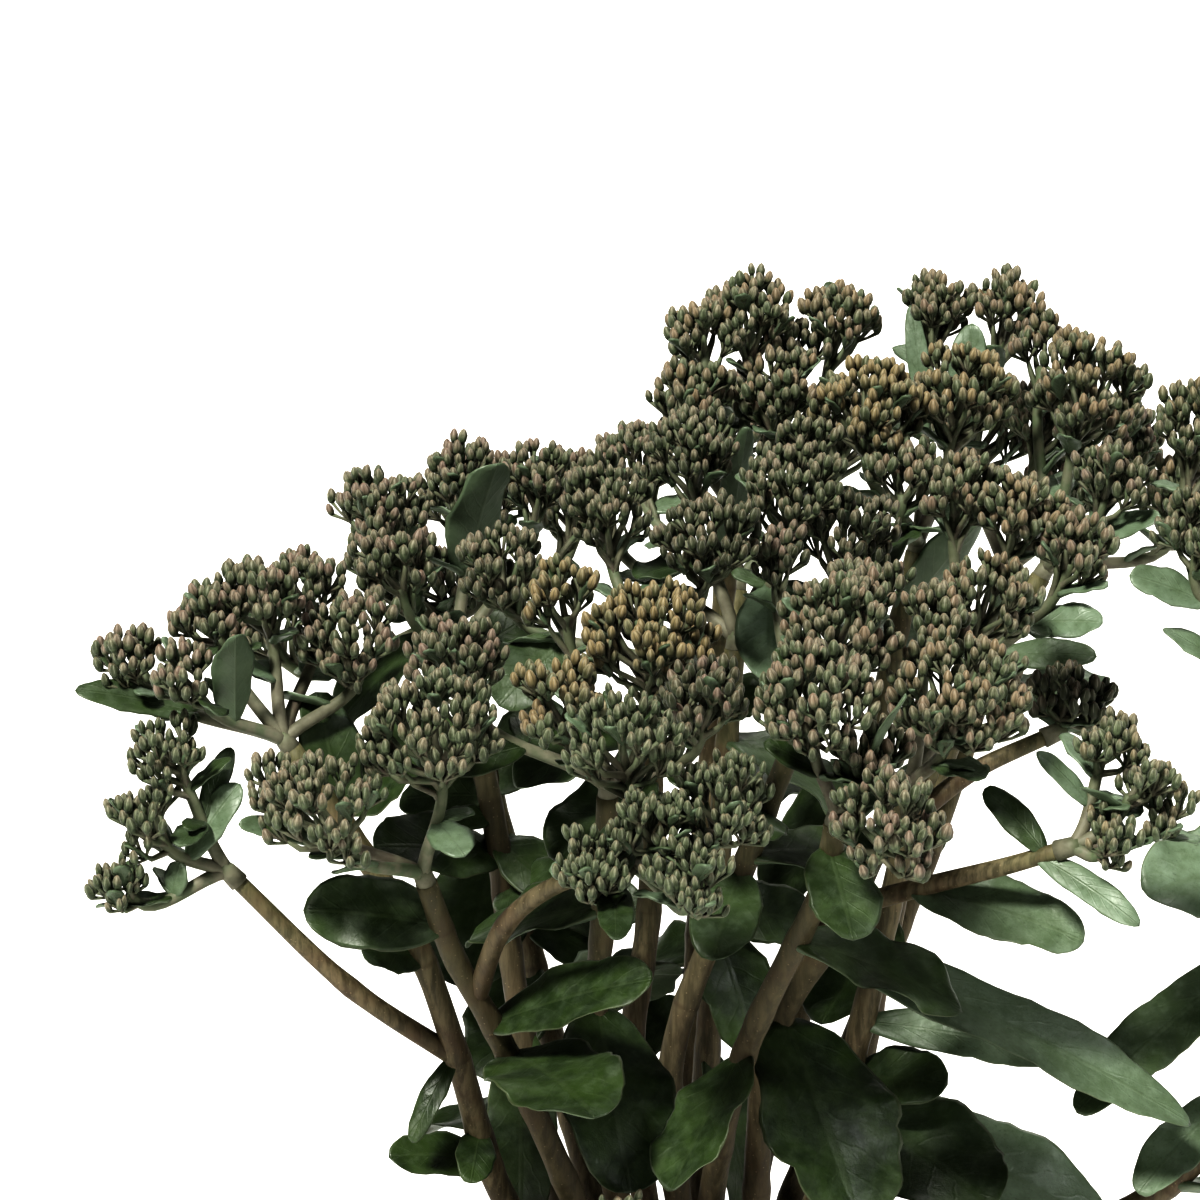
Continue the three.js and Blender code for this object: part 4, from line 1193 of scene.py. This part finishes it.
def bud_look():
    look = Look("flower_bud")
    along, keel, luck, painted_light = look.marks()
    cloud = look.noise(1.6, 3, 0.6)
    green = look.layer((0.04, 0.056, 0.027), (0.108, 0.135, 0.076), cloud, 0.35, 0.65)
    brown = look.layer((0.125, 0.115, 0.074), (0.225, 0.208, 0.148), cloud, 0.35, 0.65)
    pink = look.mix(look.times(look.span(luck, 0.5, 1.0), 0.7), brown, (0.2, 0.14, 0.115))
    pink = look.layer(pink, (0.115, 0.145, 0.085), luck, 0.45, 0.0, 0.0, 0.75)
    rise = look.math("ADD", along, look.times(look.math("SUBTRACT", luck, 0.5), 0.35))
    body = look.layer(green, pink, rise, 0.25, 0.85)
    # Painted light and shade: buds with a high fourth mark are painted golden as if in warm light, and those
    # with a low one near black as painted shade
    painted_warm_light = look.layer((0.09, 0.078, 0.036), (0.25, 0.202, 0.105), rise, 0.2, 0.8)
    body = look.layer(body, painted_warm_light, painted_light, 0.6, 1.0, 0.0, 0.85)
    body = look.layer(body, (0.026, 0.028, 0.014), painted_light, 0.45, 0.1, 0.0, 0.7)
    # Painted shade: the grooves between the keels are darkened towards near black above the base
    crease_shade = look.times(look.span(keel, 0.4, 0.0), look.span(along, 0.2, 0.45))
    crease_shaded = look.mix(look.times(crease_shade, 0.55), body, (0.03, 0.028, 0.012))
    # Pale keels, partly the bud's own colour and partly a painted highlight along the ridges
    keel_highlight = look.times(look.span(keel, 0.75, 1.0), look.span(along, 0.3, 0.6))
    keels_highlighted = look.mix(look.times(keel_highlight, 0.4), crease_shaded, (0.42, 0.4, 0.33))
    tip = look.span(along, 0.86, 1.0)
    color = look.mix(look.times(tip, 0.4), keels_highlighted, (0.16, 0.09, 0.06))
    normal = look.bump(look.noise(0.6, 3, 0.6), 0.1, 0.7)
    roughness = look.span(cloud, 0.3, 0.7, 0.5, 0.68)
    sheen = {"Sheen_Weight": 0.1, "Sheen_Roughness": 0.5}
    return look.finish(color, roughness, normal, Specular_IOR_Level=0.4, **sheen)


def clay_look():
    look = Look("terracotta")
    up = look.add("SeparateXYZ", {"Vector": look.place()}, "Z")
    grain = look.noise(0.9, 4, 0.7)
    cloud = look.noise(38, 5, 0.6)
    fired = look.layer((0.36, 0.135, 0.06), (0.47, 0.2, 0.1), cloud, 0.35, 0.65)
    grained = look.layer(fired, (0.24, 0.085, 0.04), grain, 0.4, 0.75, 0.0, 0.35)
    bloom = look.times(look.span(look.noise(17, 6, 0.7), 0.52, 0.72), 0.55)
    chalky = look.mix(bloom, grained, (0.56, 0.42, 0.32))
    damp = look.math("ADD", up, look.times(look.noise(30, 4), 0.03))
    color = look.layer(chalky, (0.2, 0.085, 0.045), damp, 0.05, 0.025, 0.0, 0.5)
    rings = look.noise(3.2, 3, 0.5, (0.02, 0.02, 1))
    normal = look.bump(grain, 0.22, 0.7, look.bump(rings, 0.5, 0.6))
    roughness = look.span(grain, 0.3, 0.8, 0.78, 0.95)
    return look.finish(color, roughness, normal, Specular_IOR_Level=0.25)


def soil_look():
    look = Look("potting_soil")
    kind, _, luck, _ = look.marks()
    crumbs = look.noise(2.6, 5, 0.7)
    peat = look.layer((0.018, 0.011, 0.007), (0.07, 0.043, 0.026), crumbs, 0.35, 0.7)
    varied = look.mix(look.times(luck, 0.4), peat, (0.1, 0.065, 0.04))
    grit = look.mix(luck, (0.32, 0.28, 0.23), (0.6, 0.58, 0.54))
    color = look.layer(varied, grit, kind, 0.4, 0.6)
    normal = look.bump(crumbs, 0.9, 0.9, look.bump(look.noise(0.7, 3), 0.3, 0.6))
    return look.finish(color, look.span(crumbs, 0.3, 0.7, 0.85, 1.0), normal, Specular_IOR_Level=0.2)


LEAF, STEM, STALK, BUD = leaf_look(), stem_look(), stalk_look(), bud_look()


def stand_for(piece, node):
    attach(piece, "root")
    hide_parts(node)


# The leafy stems

for name, made in shoots.items():
    draw = draw_from(2000 + int(name))
    shape = Shape()
    for shoot in made:
        bases = [leaf["base"] for leaf in leaves[name]] if shoot is made[0] else []
        add_shoot(shape, shoot, bases, draw)
    for leaf in leaves[name]:
        add_leaf(shape, leaf, draw)
    stand_for(shape.piece(f"stem_{name}", [STEM, LEAF]), f"leafy_stem_{name}")

# The flower heads

for name, head in heads.items():
    draw = draw_from(3000 + int(name))
    shape = Shape()
    stub = head["fork"] + head["top"] * np.array(STUB_REACH)[:, None]
    add_stalks(shape, stub[:, None], STUB_RADII, STUB_SIDES, draw)
    tufts = []
    painted_light = PAINTED_LIGHT.get(name, (0,) * len(head["cymes"]))
    for cyme, course, painted_warm_light in zip(head["cymes"], head["courses"], painted_light, strict=True):
        add_stalks(shape, course[:, None], np.linspace(*BRANCH_RADII, len(course)), BRANCH_SIDES, draw)
        mine = tufts_of(cyme, course, painted_warm_light, draw)
        add_rays(shape, cyme, mine, draw)
        tufts += mine
        for tuft in mine:
            if draw() < TUFT_LEAF_SHARE:
                add_small_leaf(shape, tuft["hub"], tuft["aim"], 6 + 5 * draw(), draw)
        for i in BRANCH_LEAVES:
            side = cyme["u"] * (draw() - 0.5) + cyme["v"] * (draw() - 0.5)
            add_small_leaf(shape, course[i], unit(side + 0.25 * UP), 11 + 6 * draw(), draw)
    young = YOUNG.get(name, 0)
    roots, aims, middles, axes, lengths, widths, painted_lights = buds_of(tufts, young, draw)
    middles = pushed_apart(middles, widths)
    add_pedicels(shape, roots, aims, middles, axes, lengths, draw)
    add_buds(shape, middles, axes, lengths, widths, painted_lights, young, draw)
    for leaf in bracts[name]:
        add_leaf(shape, leaf, draw, BRACT_DUST)
    stand_for(shape.piece(f"head_{name}", [BUD, LEAF, STALK]), f"flower_head_{name}")

# The pot and its soil


def rounded(profile, steps=4):
    """The corners of a profile (radius, height, rounding) as arcs."""
    made = []
    for i, (r, z, ease) in enumerate(profile):
        here = np.array([r, z], float)
        if not ease:
            made.append(here)
            continue
        before = unit(np.array(profile[i - 1][:2], float) - here)
        after = unit(np.array(profile[(i + 1) % len(profile)][:2], float) - here)
        for t in np.linspace(0, 1, steps + 1):
            a, b = here + before * ease, here + after * ease
            made.append(a * (1 - t) ** 2 + 2 * here * t * (1 - t) + b * t**2)
    return np.array(made)


def turned(radii, heights, sides):
    """The corners of rings with those radii and heights."""
    angle = round_angles(sides)
    corners = np.empty((len(radii), sides, 3))
    corners[..., 0] = radii[:, None] * np.cos(angle)
    corners[..., 1] = radii[:, None] * np.sin(angle)
    corners[..., 2] = heights[:, None]
    return corners


def inner_radius(z):
    return lerp(FLOOR_RADIUS, MOUTH_RADIUS, (z - FLOOR) / (POT_HEIGHT - FLOOR))


def pot_piece():
    shoulder = POT_HEIGHT - RIM_HEIGHT
    body = RIM_RADIUS - RIM_TAPER - RIM_PROUD
    profile = [
        (CAP_RADIUS, 0, 0),
        (FOOT_RADIUS, 0, CORNER_ROUND),
        (lerp(FOOT_RADIUS, body, 0.33), shoulder * 0.33, 0),
        (lerp(FOOT_RADIUS, body, 0.66), shoulder * 0.66, 0),
        (body, shoulder, CREASE_ROUND),
        (RIM_RADIUS - RIM_TAPER, shoulder, EDGE_ROUND),
        (RIM_RADIUS - RIM_TAPER / 2, shoulder + RIM_HEIGHT / 2, 0),
        (RIM_RADIUS, POT_HEIGHT, EDGE_ROUND),
        (MOUTH_RADIUS, POT_HEIGHT, EDGE_ROUND),
        (inner_radius(100), 100, 0),
        (inner_radius(50), 50, 0),
        (FLOOR_RADIUS, FLOOR, CORNER_ROUND),
        (CAP_RADIUS, FLOOR, 0),
    ]
    radii, heights = rounded(profile).T
    shape = Shape()
    shape.add(turned(radii, heights, POT_SIDES), tube_faces(len(radii), POT_SIDES), (0, 0, 0, 1), 0)
    pot = shape.piece("clay_pot", [clay_look()])
    for k in range(DRAIN["count"]):
        turn = 2 * pi * (k + 0.5) / DRAIN["count"]
        place = Vector((cos(turn), sin(turn), 0)) * DRAIN["ring"] * MM
        size = {"radius": DRAIN["radius"] * MM, "depth": 3 * FLOOR * MM}
        bpy.ops.mesh.primitive_cylinder_add(vertices=32, location=place, **size)
        cutter = bpy.context.object
        cut = pot.modifiers.new("drain", "BOOLEAN")
        cut.operation, cut.object, cut.solver = "DIFFERENCE", cutter, "EXACT"
        bpy.context.view_layer.objects.active = pot
        bpy.ops.object.modifier_apply(modifier=cut.name)
        bpy.data.objects.remove(cutter)
    return pot


SOIL_SIDES = 120
SOIL_RINGS = 44
CRUMBS = 340
GRIT_SHARE = 0.13


def mound(share):
    return SOIL_LEVEL + SOIL_MOUND * (1 - share)


def soil_piece():
    draw = draw_from(9)
    top = inner_radius(SOIL_LEVEL) + 0.3
    shape = Shape()
    rings = np.concatenate([[0.02], np.linspace(0.05, 1, SOIL_RINGS)])
    corners = turned(top * rings, mound(rings), SOIL_SIDES)
    for corner in corners.reshape(-1, 3):
        x, y, z = corner
        lumps = noise.fractal(Vector((x / 9, y / 9, 3.1)), 1, 2, 3) * SOIL_LUMP
        fine = noise.fractal(Vector((x / 2.4, y / 2.4, 8.3)), 1, 2, 3) * 0.5
        corner[2] = z + lumps + fine
    corners = np.concatenate([corners, corners[-1:], corners[:1]])
    corners[-2, :, :2] *= inner_radius(FLOOR) / top
    corners[-2:, :, 2] = FLOOR + GAP
    shape.add(corners, flipped(tube_faces(len(corners), SOIL_SIDES)), (0, 0, 0.3, 1), 0)

    bpy.ops.mesh.primitive_ico_sphere_add(subdivisions=2, radius=1)
    ball = bpy.context.object
    round_corners = np.array([v.co for v in ball.data.vertices])
    round_faces = np.array([tuple(f.vertices) for f in ball.data.polygons])
    bpy.data.objects.remove(ball)
    for _ in range(CRUMBS):
        reach = (top - 3) * sqrt(draw())
        turn = 2 * pi * draw()
        size = 0.6 + 2.2 * draw() ** 3
        offset = Vector((draw() * 50, draw() * 50, draw() * 50))
        lumpy = np.array([p * (1 + 0.45 * noise.noise(Vector(p) * 1.3 + offset)) for p in round_corners])
        lumpy *= size * np.array([0.8 + 0.5 * draw(), 0.8 + 0.5 * draw(), 0.6 + 0.3 * draw()])
        middle = [reach * cos(turn), reach * sin(turn), mound(reach / top) + 0.25 * size]
        grit = 1.0 if draw() < GRIT_SHARE else 0.0
        shape.add(lumpy + middle, [round_faces], (grit, 0, draw(), 1), 0)
    return shape.piece("soil_surface", [soil_look()])


stand_for(pot_piece(), "pot")
stand_for(soil_piece(), "soil")

# Floor, light and camera

AIM = Vector((-22, -45, 374)) * MM
DISTANCE = 1250 * MM
ELEVATION = 15 * DEG
FIELD = 14.77 * DEG
SENSOR = 36

# Each sun: azimuth and elevation in degrees, strength, spread and color
SUNS = {
    "key": (-32, 50, 4.2, 9, (1.0, 0.985, 0.94)),
    "side": (60, 40, 0.8, 25, (0.97, 0.98, 1.0)),
    "back": (160, 48, 0.9, 30, (1.0, 0.98, 0.95)),
}
SKY_COLOR = (1.0, 0.99, 0.95, 1)
SKY_STRENGTH = 0.025
EXPOSURE = 0.22
GAMMA = 0.86


def floor():
    bpy.ops.mesh.primitive_circle_add(vertices=96, radius=40, fill_type="NGON")
    ground = bpy.context.object
    ground.name = "floor"
    look = Look("pale_floor")
    tone = look.noise(60, 3)
    color = look.layer((0.885, 0.885, 0.88), (0.9, 0.9, 0.895), tone, 0.3, 0.7)
    ground.data.materials.append(look.finish(color, 0.9, look.bump(tone, 0.1, 0.1), Specular_IOR_Level=0.1))
    ground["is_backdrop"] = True


def sun(name, azimuth, elevation, strength, spread, color):
    """Soft light from an azimuth, counted from the front towards the right, and an elevation."""
    light = bpy.data.lights.new(name, "SUN")
    light.energy, light.angle, light.color = strength, spread * DEG, color
    lamp = bpy.data.objects.new(name, light)
    bpy.context.scene.collection.objects.link(lamp)
    a, e = azimuth * DEG, elevation * DEG
    toward = Vector((sin(a) * cos(e), -cos(a) * cos(e), sin(e)))
    lamp.rotation_euler = toward.to_track_quat("Z", "Y").to_euler()


def camera():
    data = bpy.data.cameras.new("view")
    data.sensor_width = SENSOR
    data.lens = SENSOR / 2 / tan(FIELD / 2)
    data.clip_end = 100
    eye = bpy.data.objects.new("view", data)
    bpy.context.scene.collection.objects.link(eye)
    back = Vector((0, -cos(ELEVATION), sin(ELEVATION)))
    eye.location = AIM + back * DISTANCE
    eye.rotation_euler = back.to_track_quat("Z", "Y").to_euler()
    bpy.context.scene.camera = eye


def sky():
    world = bpy.data.worlds.new("studio")
    world.use_nodes = True
    background = world.node_tree.nodes["Background"]
    background.inputs["Color"].default_value = SKY_COLOR
    background.inputs["Strength"].default_value = SKY_STRENGTH
    bpy.context.scene.world = world


def tones():
    view = bpy.context.scene.view_settings
    view.view_transform, view.look = "Standard", "High Contrast"
    view.exposure, view.gamma = EXPOSURE, GAMMA


floor()
for name, settings in SUNS.items():
    sun(name, *settings)
sky()
tones()
camera()

MODEL_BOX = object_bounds()
boxes = {"cad": CAD_BOX, "model": MODEL_BOX}
{name: [[float(x) for x in corner] for corner in box] for name, box in boxes.items()}
